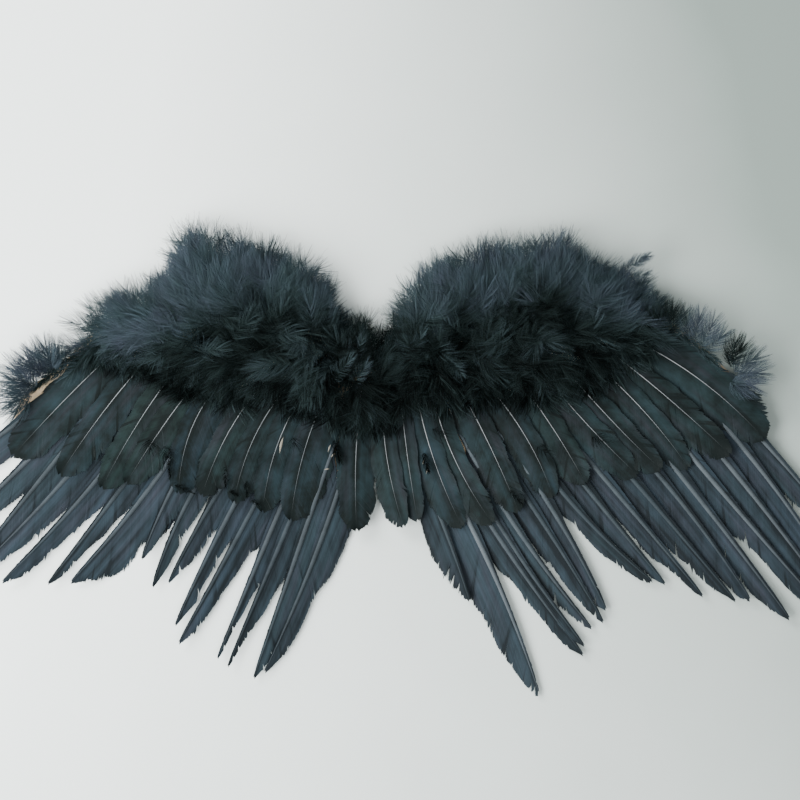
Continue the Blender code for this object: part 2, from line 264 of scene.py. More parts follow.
# One feather: its root as a share of the arm's reach, its heading in degrees out from straight
# down, its length and bow as shares, its vanes as shares of the kind's widths, how much its dye
# has faded, and the width of its inner vane past the notch: shares of the length, millimetres
Feather = namedtuple("Feather", "root heading length bow inner outer faded finger",
                     defaults=[()])
FLIGHTS = {
    LEFT: (
        Feather(0.094, 20.7, 0.889, -0.023, 1.20, 0.90, 0.54, (
            (0.50, 24), (0.59, 21), (0.65, 15), (0.72, 14), (0.81, 14), (0.88, 12), (0.95, 6))),
        Feather(0.156, 18.9, 0.901, -0.002, 0.85, 0.85, 0.59, (
            (0.60, 18), (0.70, 15), (0.76, 15), (0.84, 12), (0.92, 9))),
        Feather(0.193, 22.8, 0.885, -0.002, 0.88, 0.85, 0.44, (
            (0.61, 17.5), (0.68, 14), (0.76, 12), (0.80, 9.5), (0.85, 6), (0.91, 4))),
        Feather(0.246, 22.5, 0.856, -0.001, 0.76, 0.85, 0.64, (
            (0.64, 11), (0.73, 7.5), (0.80, 6), (0.87, 3.5), (0.94, 3))),
        Feather(0.310, 28.0, 0.842, -0.007, 1.04, 0.80, 0.49, (
            (0.53, 23), (0.56, 18), (0.66, 16.5), (0.75, 13), (0.85, 11.5), (0.93, 8),
            (0.96, 5.5))),
        Feather(0.362, 27.3, 0.782, 0.015, 0.72, 0.80, 0.59, (
            (0.55, 14), (0.64, 11), (0.71, 10.5), (0.79, 8.5), (0.88, 9), (0.92, 6))),
        Feather(0.417, 30.1, 0.658, 0.015, 0.90, 0.85, 0.44, (
            (0.62, 19), (0.69, 15), (0.77, 14), (0.86, 11), (0.91, 6))),
        Feather(0.475, 28.4, 0.689, 0.050, 0.65, 0.90, 0.54, (
            (0.60, 15), (0.72, 10), (0.77, 11), (0.87, 8.5), (0.94, 5))),
        Feather(0.544, 28.9, 0.618, 0.044, 0.88, 0.90, 0.59, (
            (0.70, 17), (0.79, 10.5), (0.85, 10), (0.92, 7))),
        Feather(0.610, 36.3, 0.799, -0.031, 1.60, 0.90, 0.69, (
            (0.69, 27), (0.75, 30), (0.80, 31), (0.85, 29), (0.88, 25), (0.93, 15), (0.96, 9))),
        Feather(0.677, 35.6, 0.836, -0.013, 0.85, 0.90, 0.54, (
            (0.57, 19), (0.63, 15), (0.72, 14), (0.80, 9.5), (0.88, 8.5), (0.95, 6))),
        Feather(0.742, 39.4, 0.907, -0.027, 0.98, 0.95, 0.59, (
            (0.55, 22), (0.61, 18.5), (0.70, 16), (0.77, 15), (0.81, 13), (0.88, 13),
            (0.93, 10.5))),
        Feather(0.810, 40.7, 0.898, -0.023, 0.92, 0.90, 0.69, (
            (0.60, 22), (0.67, 20), (0.75, 16.5), (0.82, 16), (0.88, 12.5), (0.95, 10))),
        Feather(0.871, 38.3, 0.939, 0.004, 0.92, 0.90, 0.59, (
            (0.62, 21), (0.70, 18), (0.80, 15), (0.90, 12))),
        Feather(0.936, 43.4, 0.901, -0.031, 0.92, 0.90, 0.74, (
            (0.66, 20), (0.75, 17), (0.86, 13), (0.93, 10))),
        Feather(0.996, 52.0, 0.720, -0.028, 1.00, 1.00, 0.69),
    ),
    RIGHT: (
        Feather(0.046, 21.5, 0.640, 0.020, 0.80, 0.70, 0.24, (
            (0.64, 22), (0.72, 22), (0.81, 17), (0.90, 12))),
        Feather(0.093, 25.0, 0.993, 0.032, 1.60, 0.80, 0.69, (
            (0.60, 33), (0.63, 30), (0.70, 26), (0.80, 24), (0.88, 18.5), (0.95, 12), (0.99, 7))),
        Feather(0.152, 33.5, 0.930, -0.020, 0.74, 0.90, 0.44, (
            (0.58, 19), (0.63, 14), (0.72, 12.5), (0.83, 11), (0.90, 10), (0.95, 7.5))),
        Feather(0.194, 32.6, 0.886, -0.025, 0.70, 0.80, 0.39, (
            (0.60, 15), (0.70, 12), (0.85, 9), (0.95, 6))),
        Feather(0.239, 33.7, 0.828, -0.028, 0.75, 0.80, 0.49, (
            (0.60, 15), (0.66, 13), (0.76, 13.5), (0.85, 12), (0.90, 8), (0.95, 6.5))),
        Feather(0.298, 33.3, 0.805, 0.018, 0.86, 0.85, 0.34, (
            (0.64, 20), (0.68, 15.5), (0.78, 14.5), (0.84, 12.5), (0.91, 9), (0.96, 5))),
        Feather(0.358, 31.6, 0.752, 0.031, 0.80, 1.00, 0.44, (
            (0.70, 16), (0.85, 12), (0.94, 9), (0.97, 6))),
        Feather(0.421, 40.9, 0.749, -0.042, 0.82, 0.90, 0.29, (
            (0.53, 15), (0.58, 12), (0.69, 13.5), (0.76, 13.5), (0.80, 11.5), (0.88, 9),
            (0.96, 7))),
        Feather(0.476, 38.9, 0.765, -0.002, 0.80, 0.90, 0.39, (
            (0.60, 17), (0.80, 12), (0.90, 9), (0.95, 6))),
        Feather(0.529, 40.2, 0.861, 0.005, 0.80, 0.90, 0.44, (
            (0.58, 16.5), (0.73, 16), (0.77, 15), (0.80, 11), (0.85, 8.5), (0.91, 6), (0.97, 4.5))),
        Feather(0.594, 40.6, 0.926, 0.008, 0.85, 0.90, 0.34, (
            (0.66, 19), (0.73, 17), (0.80, 12.5), (0.86, 12.5), (0.92, 9), (0.96, 4))),
        Feather(0.655, 39.3, 0.935, 0.034, 1.12, 0.90, 0.44, (
            (0.70, 18), (0.85, 14), (0.93, 11), (0.97, 9))),
        Feather(0.740, 38.0, 1.044, 0.012, 0.90, 1.00, 0.54, (
            (0.75, 18), (0.87, 16), (0.94, 10), (0.98, 5))),
        Feather(0.811, 40.0, 1.062, -0.004, 0.96, 0.95, 0.62, (
            (0.66, 20), (0.69, 14.5), (0.80, 13.5), (0.88, 13.5), (0.94, 12))),
        Feather(0.878, 38.5, 1.067, 0.017, 0.90, 0.95, 0.59, ((0.68, 20), (0.80, 15), (0.92, 11))),
        Feather(0.943, 38.4, 0.948, 0.033, 0.90, 0.95, 0.62),
        Feather(0.999, 42.9, 0.779, 0.024, 0.90, 1.00, 0.59),
    ),
}

INNER = -1
OUTER = 1

# Where a flight feather has parted wide: on which vane, the share of the length at which the
# parted barbs leave the shaft, and how wide they gape at the edge
Cleft = namedtuple("Cleft", "hand start gape")
CLEFTS = {
    "flight_left_03": (Cleft(INNER, 0.900, 0.0045), Cleft(INNER, 0.945, 0.0040)),
    "flight_left_04": (Cleft(INNER, 0.850, 0.0035), Cleft(INNER, 0.930, 0.0040)),
    "flight_left_07": (Cleft(INNER, 0.880, 0.0045),),
    "flight_right_01": (Cleft(INNER, 0.740, 0.0050), Cleft(INNER, 0.800, 0.0055),
                        Cleft(INNER, 0.865, 0.0045)),
    "flight_right_02": (Cleft(INNER, 0.938, 0.0045), Cleft(INNER, 0.962, 0.0060),
                        Cleft(OUTER, 0.955, 0.0045)),
    "flight_right_05": (Cleft(INNER, 0.760, 0.0045), Cleft(INNER, 0.930, 0.0045)),
    "flight_right_06": (Cleft(INNER, 0.930, 0.0050), Cleft(OUTER, 0.900, 0.0030)),
    "flight_right_07": (Cleft(INNER, 0.900, 0.0040), Cleft(OUTER, 0.880, 0.0035)),
    "flight_right_11": (Cleft(INNER, 0.655, 0.0042),),
    "flight_right_13": (Cleft(INNER, 0.655, 0.0050),),
    "flight_right_14": (Cleft(INNER, 0.630, 0.0045),),
}


def hinge(x, start, slope, rounding):
    """A line that is level before start and climbs by slope past it, with a rounded bend."""
    past = x - start
    return 0.5 * slope * (past + np.hypot(past, rounding))


def arm_height(x):
    """Height of the arm line at a distance from the middle, on either wing."""
    climb = hinge(np.abs(x), ARM_ELBOW, ARM_CLIMB, ELBOW_ROUND)
    return ARM_LOW + climb - hinge(np.abs(x), ARM_REACH, WRIST_FALL, WRIST_ROUND)


def covert_height(x):
    """Height of the line along which the coverts' quills are glued."""
    return arm_height(x) + COVERT_SET_INNER - COVERT_SET_FALL * np.abs(x) / ARM_REACH


def shaft(kind, side, feather, share):
    """Points on a feather's shaft, and the directions from there to the wing's outer side."""
    heading = math.radians(feather.heading)
    run = np.array((side * math.sin(heading), -math.cos(heading)))
    outward = np.array((side * math.cos(heading), math.sin(heading)))
    x = feather.root * ARM_REACH
    line = arm_height if kind is FLIGHT else covert_height
    length = feather.length * kind.length
    share = np.asarray(share)[..., None]
    flat = np.array((side * x, line(x))) + run * length * share
    flat = flat + outward * 4 * feather.bow * length * share * (1 - share)
    across = outward - run * 4 * feather.bow * (1 - 2 * share)
    return flat, across / np.linalg.norm(across, axis=-1, keepdims=True)


def curl(kind, side, feather):
    """How far a feather's tip stands above its vane's own line, different for each feather."""
    low, high = kind.curl
    return low + (high - low) * (0.5 + 0.5 * math.sin(217.0 * feather.root + 3.0 * side))


def lay(kind, side, feather, share, reach):
    """Places on a feather's face: each leans so that its outer vane clears the next feather, and
    its tip curls a little up or down."""
    flat, across = shaft(kind, side, feather, share)
    flat = flat + across * reach[..., None]
    lift = np.clip(share / SEAT_END, 0.0, 1.0)
    lift = lift * lift * (3 - 2 * lift)
    seat = CARD_TOP + CLEAR + kind.quill
    below = np.maximum(0.0, arm_height(flat[..., 0]) - flat[..., 1])
    height = seat + (kind.level - seat) * lift + kind.lean * reach * lift
    height = height - DROOP * (below / DROOP_OVER) ** 2
    curled = np.clip((share - CURL_FROM) / (1 - CURL_FROM), 0.0, 1.0) ** 2
    height = height + curl(kind, side, feather) * curled
    return np.concatenate((flat, height[..., None]), axis=-1)


NOTCH_RUN = 0.05        # share of the length over which a vane narrows to its notch
ROUNDING = (-0.016, -0.008, 0.0, 0.008, 0.016)


def vane_width(kind, hand, feather, share):
    """A vane's width at a share of the length, with rounded corners and a slow waver."""
    if hand == OUTER:
        knots = [(place.along, place.outer * kind.outer * feather.outer) for place in kind.stations]
    else:
        start = feather.finger[0][0] - NOTCH_RUN if feather.finger else 2.0
        knots = [(place.along, place.inner * kind.inner * feather.inner)
                 for place in kind.stations if place.along < start or place.along == 1.0]
        knots = sorted(knots + [(along, wide / 1000) for along, wide in feather.finger])
    along, wide = zip(*knots)
    blurred = [np.interp(share + shift, along, wide, left=0.0, right=0.0) for shift in ROUNDING]
    uneven = np.sin(share * 15.0 + 400.0 * feather.root + 2.0 * hand) + np.sin(
        share * 37.0 + 900.0 * feather.root - hand)
    return np.mean(blurred, axis=0) * (1 + kind.uneven * uneven)


def barb_reach(kind, hand, feather, starts, slant):
    """How far each barb reaches before it meets the vane's edge, found by halving a range."""
    length = feather.length * kind.length
    short = np.zeros_like(starts)
    long = np.full_like(starts, WIDEST_VANE)
    for _ in range(24):
        middle = (short + long) / 2
        inside = middle < vane_width(kind, hand, feather, starts + slant * middle / length)
        short = np.where(inside, middle, short)
        long = np.where(inside, long, middle)
    return short


def barb_sheet(bm, points, lines, slits):
    """A thin closed sheet over rows and columns of points. slits are (column, row) pairs: the
    sheet is open from that row outwards between that column and the next."""
    rows, columns = points.shape[:2]
    made = bmesh.ops.create_grid(bm, x_segments=columns - 1, y_segments=rows - 1, size=0.5)
    verts = made["verts"]
    along = bm.verts.layers.float["along"]
    out = bm.verts.layers.float["out"]
    edge = bm.verts.layers.float["edge"]
    for vert, place, line in zip(verts, points.reshape(-1, 3), lines.reshape(-1, 3)):
        vert.co = place
        vert[along], vert[out], vert[edge] = line
    grid = np.array(verts, dtype=object).reshape(rows, columns)
    open_faces = []
    for column, first in slits:
        for row in range(first, rows - 1):
            corners = (grid[row, column], grid[row + 1, column + 1])
            shared = set(corners[0].link_faces) & set(corners[1].link_faces)
            open_faces.extend(shared)
    bmesh.ops.delete(bm, geom=open_faces, context="FACES_ONLY")
    faces = list({face for vert in verts if vert.is_valid for face in vert.link_faces})
    bmesh.ops.remove_doubles(bm, verts=[v for v in verts if v.is_valid], dist=1e-6)
    faces = [face for face in faces if face.is_valid]
    raised = bmesh.ops.extrude_face_region(bm, geom=faces)["geom"]
    upper = [item for item in raised if isinstance(item, bmesh.types.BMVert)]
    bmesh.ops.translate(bm, verts=upper, vec=(0.0, 0.0, VANE_THICK))
    shell = faces + [face for vert in upper for face in vert.link_faces]
    bmesh.ops.recalc_face_normals(bm, faces=list({face for face in shell if face.is_valid}))


FULL_VANE = 0.024       # a vane of this width has the slits and wear given here
SLITS_ALONG = (0.30, 0.88, 0.93)    # first, likeliest and last place where barbs part
SLITS_OUT = (0.45, 0.85, 0.90)      # and how far out along the barbs a slit starts
SLIT_GAPES = (0.0004, 0.0042)
SLIT_LIFTS = (-0.0003, 0.0005)
SLIT_NEARBY = 0.020     # share of the length over which the barbs beside a slit lean apart
BARBS_AHEAD = 0.02      # the barbs slant, so the first leaves the shaft before its vane starts
LAST_BARB = 0.99
TIP_SLANT_FROM = 0.80   # past this share the barbs slant more and more
WORN_FROM = 0.45        # the edges are worn past this share, fully after WORN_RUN more
WORN_RUN = 0.20
WAVES_FROM = 0.35       # and wave past this share in the same way
WAVES_RUN = 0.25
EVEN_WEAR = 0.012       # how ragged the edges are where they aren't torn
BARB_BEND = 1.15        # above 1, barbs curve towards the tip


def rising(share, start, run):
    """0 up to a share of the length, 1 after a further run, and straight between."""
    return np.clip((share - start) / run, 0.0, 1.0)


def grow_vane(bm, kind, side, feather, hand, chance, slit_count, clefts):
    """One vane, as a sheet whose columns run along its barbs, with slits where they part."""
    width = kind.outer * feather.outer if hand == OUTER else kind.inner * feather.inner
    length = feather.length * kind.length
    first = kind.stations[0].along - BARBS_AHEAD
    slit_starts = np.sort(chance.triangular(*SLITS_ALONG, slit_count))
    gapes = {cleft.start: cleft.gape for cleft in clefts}
    slit_starts = np.sort(np.concatenate((slit_starts, list(gapes))))
    starts = np.linspace(first, LAST_BARB, kind.barbs)
    starts = np.sort(np.concatenate((starts, slit_starts, slit_starts)))
    slant = kind.slant * (1 + 0.5 * rising(starts, TIP_SLANT_FROM, 1 - TIP_SLANT_FROM) ** 2)
    reach = barb_reach(kind, hand, feather, starts, slant)
    ragged = chance.normal(0.0, 1.0, len(starts))
    worn = np.convolve(chance.normal(0.0, 1.0, len(starts)), np.ones(9) / 3, "same")
    torn = np.clip(worn - 0.3, 0.0, 1.0) * rising(starts, WORN_FROM, WORN_RUN)
    torn = EVEN_WEAR + kind.torn * torn * min(1.0, FULL_VANE / width)
    reach = np.maximum(reach * (1 + torn * ragged), 0.8 * kind.quill * (1 - 0.7 * starts))
    steps = np.linspace(0.0, 1.0, 7 if width > FULL_VANE / 2 else 4) ** 0.9
    out = steps[:, None]
    moved = np.zeros((len(steps), len(starts)))
    raised = np.zeros((len(steps), len(starts)))
    slits = []
    for start in slit_starts:
        column = int(np.searchsorted(starts, start))
        row = int(np.searchsorted(steps, chance.triangular(*SLITS_OUT)))
        if start in gapes:
            row = 2 if len(steps) > 4 else 1
        slits.append((column, row))
        ahead = np.where(np.arange(len(starts)) > column, 1.0, -1.0)
        nearby = np.exp(-np.abs(starts - start) / SLIT_NEARBY)
        opening = np.clip((out - steps[row]) / (1.001 - steps[row]), 0.0, 1.0) ** 1.4
        gape = chance.uniform(*SLIT_GAPES) * (width / FULL_VANE) ** 0.5
        gape = gapes.get(start, gape)
        moved = moved + 0.5 * gape * ahead * nearby * opening
        raised = raised + chance.uniform(*SLIT_LIFTS) * (ahead > 0) * nearby * opening
    share = starts + (slant * reach * out ** BARB_BEND + moved) / length
    share = np.broadcast_to(share, moved.shape)
    points = lay(kind, side, feather, share, hand * reach * out)
    waves = np.sin(starts * chance.uniform(14.0, 26.0) + chance.uniform(0.0, 6.0))
    waves = (0.5 + 0.5 * waves) * rising(starts, WAVES_FROM, WAVES_RUN)
    raised = raised + (kind.wave if hand == OUTER else -0.5 * kind.wave) * waves * out ** 2
    points[..., 2] += raised - VANE_THICK / 2 - kind.cup * reach * out ** 2
    points[..., 2] = np.maximum(points[..., 2], VANE_THICK)
    edge = np.broadcast_to(out, moved.shape)
    lines = np.stack((np.broadcast_to(starts * length, moved.shape), hand * reach * out, edge),
                     axis=-1)
    barb_sheet(bm, points, lines, slits)


QUILL_FACETS = 8
QUILL_SECTIONS = 30
QUILL_END = 0.985       # share of the length at which it narrows to a point
TAPER = 1.6             # it stays stout at first, then thins faster towards its tip


def grow_quill(bm, kind, side, feather):
    """The quill: a flattened and tapered tube from its glued root to the tip."""
    shares = np.linspace(0.0, QUILL_END, QUILL_SECTIONS)
    shares = np.concatenate(([0.0], shares, [QUILL_END + 0.005]))
    high = kind.quill * (1.22 - 0.85 * shares ** TAPER)
    wide = np.interp(shares, np.linspace(0.0, 1.0, len(kind.quill_wide)), kind.quill_wide)
    high[[0, -1]] = 0.0
    wide[[0, -1]] = 0.0
    middle = lay(kind, side, feather, shares, np.zeros_like(shares))
    across = shaft(kind, side, feather, shares)[1]
    made = bmesh.ops.create_grid(bm, x_segments=len(shares) - 1, y_segments=QUILL_FACETS,
                                 size=0.5)
    verts = made["verts"]
    quill = bm.verts.layers.float["quill"]
    along = bm.verts.layers.float["along"]
    for number, vert in enumerate(verts):
        row, column = divmod(number, len(shares))
        turn = 2 * math.pi * row / QUILL_FACETS
        sideways = across[column] * math.cos(turn) * wide[column]
        place = middle[column]
        vert.co = (place[0] + sideways[0], place[1] + sideways[1],
                   place[2] + math.sin(turn) * high[column])
        vert[quill] = kind.horn[side] * (1.0 - kind.quill_dye * shares[column] ** TAPER)
        vert[along] = shares[column] * feather.length * kind.length
    bmesh.ops.remove_doubles(bm, verts=verts, dist=1e-7)
    faces = list({face for vert in verts if vert.is_valid for face in vert.link_faces})
    bmesh.ops.recalc_face_normals(bm, faces=faces)


RIM_ANGLE = math.radians(60.0)


def finished(name, bm, material):
    """An object at the origin, with what was modelled as its mesh."""
    mesh = bpy.data.meshes.new(name)
    bm.to_mesh(mesh)
    bm.free()
    mesh.materials.append(material)
    made = bpy.data.objects.new(name, mesh)
    bpy.context.collection.objects.link(made)
    return made


def add_piece(name, bm, material, slot, *nodes):
    """Add a smooth piece that stands for its CAD nodes, if it has any."""
    made = finished(name, bm, material)
    made.data.shade_smooth()
    made.data.set_sharp_from_angle(angle=RIM_ANGLE)
    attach(made, "root")
    if nodes:
        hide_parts(*nodes)
    return made


SEEDS = {LEFT: 1600, RIGHT: 3600}   # a feather's number is added
TIP_SHADE_FROM = 0.72    # share of the length past which painted shade darkens the tip, fully after a run
TIP_SHADE_RUN = 0.25
TIP_SHADE_STRAY = (0.3, 1.3)


def build_feather(kind, side, number, feather, material, slit_counts):
    """One feather: its two vanes and its quill, with the values that its material reads."""
    bm = bmesh.new()
    for layer in ("along", "out", "edge", "quill", "faded", "tint"):
        bm.verts.layers.float.new(layer)
    chance = np.random.default_rng(SEEDS[side] + number)
    node = f"{kind.word}_{SIDE_WORDS[side]}_{number:02d}"
    for hand, slit_count in zip((INNER, OUTER), slit_counts):
        clefts = [cleft for cleft in CLEFTS.get(node, ()) if cleft.hand == hand]
        grow_vane(bm, kind, side, feather, hand, chance, slit_count, clefts)
    grow_quill(bm, kind, side, feather)
    faded = bm.verts.layers.float["faded"]
    tint = bm.verts.layers.float["tint"]
    along = bm.verts.layers.float["along"]
    out = bm.verts.layers.float["out"]
    lines = bm.loops.layers.uv.new("barb_lines")
    hue = 0.5 + kind.hue_stray[side] * chance.uniform(-0.5, 0.5)
    tip_dark = kind.tip_dark * chance.uniform(*TIP_SHADE_STRAY)
    for vert in bm.verts:
        share = vert[along] / (feather.length * kind.length)
        # The faded value carries the dye's fade, less the painted shade at the tip.
        vert[faded] = feather.faded - tip_dark * rising(share, TIP_SHADE_FROM, TIP_SHADE_RUN)
        vert[tint] = hue
    for face in bm.faces:
        for loop in face.loops:
            loop[lines].uv = (loop.vert[along] + number, loop.vert[out])
    add_piece(f"{node}_vanes", bm, material, f"{kind.word}_feather", node)


def dyed_vane(wire, dark, green, blue, plum, quill_dark, quill_pale, streaky, cloudy):
    """Dyed vane: barbs show as fine streaks, the dye is cloudy and turns plum in patches, and the
    horny quill took less of it. Painted shade darkens it along the shaft, near its edges, in
    creases and towards its tip."""
    place = wire.place()
    lines = wire.node("ShaderNodeUVMap", {"uv_map": "barb_lines"})
    barbs = wire.noise(wire.stretched(lines, 520.0, 24.0, 1.0), 1.0, 2.0, 0.6)
    bands = wire.noise(wire.stretched(lines, 70.0, 9.0, 1.0), 1.0, 3.0, 0.6)
    streaks = wire.noise(wire.stretched(lines, 16.0, 420.0, 1.0), 1.0, 3.0, 0.6)
    lengthwise = wire.noise(wire.stretched(lines, 6.0, 130.0, 1.0), 1.0, 2.0, 0.5)
    clouds = wire.noise(place, 42.0, 3.0, 0.6)
    # faded carries the dye's fade and the painted shade at the tip.
    faded = wire.painted("faded")
    quill = wire.painted("quill")
    tint = wire.painted("tint")
    edge = wire.painted("edge")
    out = wire.node("ShaderNodeSeparateXYZ", {}, {"Vector": lines}, "Y")
    # Painted shadow beside the quill: the vane is darker close to the shaft.
    painted_shaft_shadow = wire.ramp(wire.maths("ABSOLUTE", out) * 160.0, (0.15, 1.0), (0.85, 0.0))
    # Painted shade towards the vane's edge, where it meets the feather beside it.
    painted_edge_shade = wire.ramp(edge, (0.55, 0.0), (1.0, 1.0))
    # Painted shade in creases: dark curved lines, strongest near the vane's edges.
    painted_crease_shade = wire.ramp(wire.noise(wire.stretched(lines, 75.0, 7.0, 1.0), 1.0, 2.0, 0.5),
                        (0.58, 0.0), (0.66, 1.0))
    # The dye's real blotches and streaks, less the painted shade in the creases.
    blotches_and_crease_shade = clouds * cloudy + (streaks * 0.5 + lengthwise) * streaky - painted_crease_shade * edge * 0.6
    paler = wire.ramp(faded * 0.45 + barbs * 0.26 + bands * 0.46 + blotches_and_crease_shade - painted_shaft_shadow * 0.20
                      - painted_edge_shade * 0.08 - (0.28 + 0.5 * cloudy + 0.75 * streaky),
                      (0.0, 0.0), (0.9, 1.0))
    hue = wire.ramp(tint * 0.8 + lengthwise * 0.3 + clouds * 0.3 - 0.20, (0.2, 0.0), (0.8, 1.0))
    patches = wire.noise(wire.stretched(lines, 11.0, 70.0, 1.0), 1.0, 3.0, 0.6)
    dye = wire.mix(wire.ramp(patches, (0.46, 0.0), (0.66, 1.0)), wire.mix(hue, green, blue), plum)
    vane = wire.mix(paler, dark, dye)
    fringe = wire.ramp(edge * 0.75 + barbs * 0.25, (0.865, 1.0), (0.90, 0.0))
    horn = wire.mix(wire.ramp(bands * 0.6 + faded * 1.8 - 0.92, (0.0, 0.0), (1.0, 1.0)),
                    quill_dark, quill_pale)
    return {
        "Base Color": wire.mix(quill, vane, horn),
        "Roughness": 0.52 + barbs * 0.16 - quill * 0.16,
        "Normal": wire.bump(barbs + bands * 0.4 + streaks * 0.6, 0.50, 0.0004),
        "Alpha": fringe,
        "Specular IOR Level": 0.07,
    }


def flight_finish(wire):
    return dyed_vane(wire, dark=rgb(0.0050, 0.0078, 0.0096), green=rgb(0.0236, 0.0410, 0.0465),
                     blue=rgb(0.0250, 0.0398, 0.0556), plum=rgb(0.0300, 0.0356, 0.0482),
                     quill_dark=rgb(0.030, 0.041, 0.047), quill_pale=rgb(0.12, 0.140, 0.152),
                     streaky=1.3, cloudy=0.5)


VERY_WIDE = 1.5         # an inner vane that is wider than this share has more slits
flight_surface = surface("flight_vane", flight_finish)
for wing in (LEFT, RIGHT):
    for place_in_row, row_of_table in enumerate(FLIGHTS[wing], start=1):
        slit_numbers = (5, 0) if row_of_table.inner > VERY_WIDE else (3, 0)
        build_feather(FLIGHT, wing, place_in_row, row_of_table, flight_surface, slit_numbers)


# Coverts: shorter and rounder dyed feathers, 10 on the left wing and 12 on the right. They are
# glued above the flight feathers and hide their roots. Their shafts stay pale.

COVERT_STATIONS = (
    Station(0.10, 0.20, 0.20),
    Station(0.17, 0.72, 0.72),
    Station(0.28, 1.00, 1.00),
    Station(0.60, 1.04, 1.04),
    Station(0.80, 1.02, 1.02),
    Station(0.90, 0.88, 0.88),
    Station(0.97, 0.58, 0.58),
    Station(1.00, 0.24, 0.24),
)
COVERT = Kind(
    word="covert", length=0.170, inner=0.0205, outer=0.0125, stations=COVERT_STATIONS,
    quill=0.0005, quill_wide=(0.0006, 0.0005, 0.0004, 0.0003, 0.0002), quill_dye=1.05,
    horn={LEFT: 1.0, RIGHT: 1.0}, lean=0.072, level=CARD_TOP + 0.00795, cup=0.05,
    slant=1.25, barbs=84, uneven=0.05, torn=0.05, wave=0.0018, tip_dark=0.70,
    hue_stray={LEFT: 0.8, RIGHT: 0.3}, curl=(-0.002, 0.006))
COVERTS = {
    LEFT: (
        Feather(0.071, 3.0, 0.990, 0.030, 0.95, 1.45, 0.51),
        Feather(0.156, 18.0, 0.960, 0.055, 1.40, 1.15, 0.36),
        Feather(0.220, 22.5, 0.930, 0.080, 0.95, 1.00, 0.51),
        Feather(0.284, 27.5, 0.900, 0.085, 0.95, 1.00, 0.41),
        Feather(0.376, 30.5, 0.890, 0.065, 1.05, 1.00, 0.56),
        Feather(0.489, 26.5, 0.900, 0.120, 1.30, 1.00, 0.46),
        Feather(0.574, 35.5, 0.975, 0.025, 1.00, 1.00, 0.61),
        Feather(0.660, 33.0, 1.040, 0.035, 1.05, 1.00, 0.51),
        Feather(0.752, 38.0, 1.075, 0.030, 1.10, 1.05, 0.61),
        Feather(0.851, 44.5, 1.105, 0.015, 1.20, 1.70, 0.66),
    ),
    RIGHT: (
        Feather(-0.010, 7.0, 0.985, -0.050, 0.80, 0.95, 0.60),
        Feather(0.043, 7.0, 0.945, -0.015, 0.80, 0.80, 0.55),
        Feather(0.092, 17.0, 1.010, -0.045, 0.95, 1.00, 0.68),
        Feather(0.142, 22.5, 1.015, -0.060, 0.95, 1.00, 0.66),
        Feather(0.216, 26.0, 0.955, 0.020, 1.00, 1.00, 0.60),
        Feather(0.298, 32.5, 0.905, 0.060, 1.00, 1.00, 0.55),
        Feather(0.420, 33.5, 0.855, 0.025, 1.05, 1.00, 0.65),
        Feather(0.505, 42.0, 0.950, -0.020, 1.00, 1.00, 0.60),
        Feather(0.575, 42.5, 0.970, -0.015, 1.00, 1.00, 0.55),
        Feather(0.645, 43.5, 1.025, 0.040, 1.00, 1.00, 0.65),
        Feather(0.715, 49.5, 1.090, 0.020, 1.05, 1.00, 0.60),
        Feather(0.785, 54.5, 1.125, 0.060, 1.15, 1.95, 0.70),
    ),
}


def covert_finish(wire):
    return dyed_vane(wire, dark=rgb(0.0029, 0.0053, 0.0052), green=rgb(0.0138, 0.0278, 0.0256),
                     blue=rgb(0.0138, 0.0276, 0.0370), plum=rgb(0.0190, 0.0226, 0.0282),
                     quill_dark=rgb(0.16, 0.18, 0.19), quill_pale=rgb(0.38, 0.40, 0.41),
                     streaky=0.7, cloudy=1.3)


covert_surface = surface("covert_vane", covert_finish)
for wing in (LEFT, RIGHT):
    for place_in_row, row_of_table in enumerate(COVERTS[wing], start=1):
        build_feather(COVERT, wing, place_in_row, row_of_table, covert_surface, (4, 2))


# Split quill ends: pale splinters of horn that lie between and on the coverts, where a shaft was
# cut short or cracked when it was glued. The dye never reached their inside.

# A splinter's middle, its turn from straight up in degrees, its length and its width
Splinter = namedtuple("Splinter", "x y heading length width")
SPLINTERS = (
    Splinter(-0.1045, 0.0110, 12.0, 0.018, 0.0026),
    Splinter(-0.0565, 0.0080, 20.0, 0.009, 0.0014),
    Splinter(-0.0530, 0.0010, 40.0, 0.006, 0.0012),
    Splinter(-0.0590, -0.0130, 80.0, 0.006, 0.0012),
    Splinter(0.0370, -0.0060, 10.0, 0.006, 0.0012),
    Splinter(0.0410, -0.0150, 30.0, 0.006, 0.0012),
)
SPLINTER_HEIGHT = CARD_TOP + 0.0118
SPLINTER_FACETS = 8
SPLINTER_CURVE = 0.9    # how far the ends bend aside, for the width
SPLINTER_FLAT = 0.5     # thickness for the width


def split_horn(wire):
    """Horn with fine lengthwise grain, pale where it broke and dark where dye ran in."""
    place = wire.place()
    grain = wire.noise(wire.stretched(place, 900.0, 240.0, 900.0), 1.0, 3.0, 0.6)
    return {
        "Base Color": wire.mix(grain, rgb(0.04, 0.04, 0.034), rgb(0.24, 0.22, 0.17)),
        "Roughness": 0.45 + grain * 0.2,
        "Normal": wire.bump(grain, 0.4, 0.0003),
    }


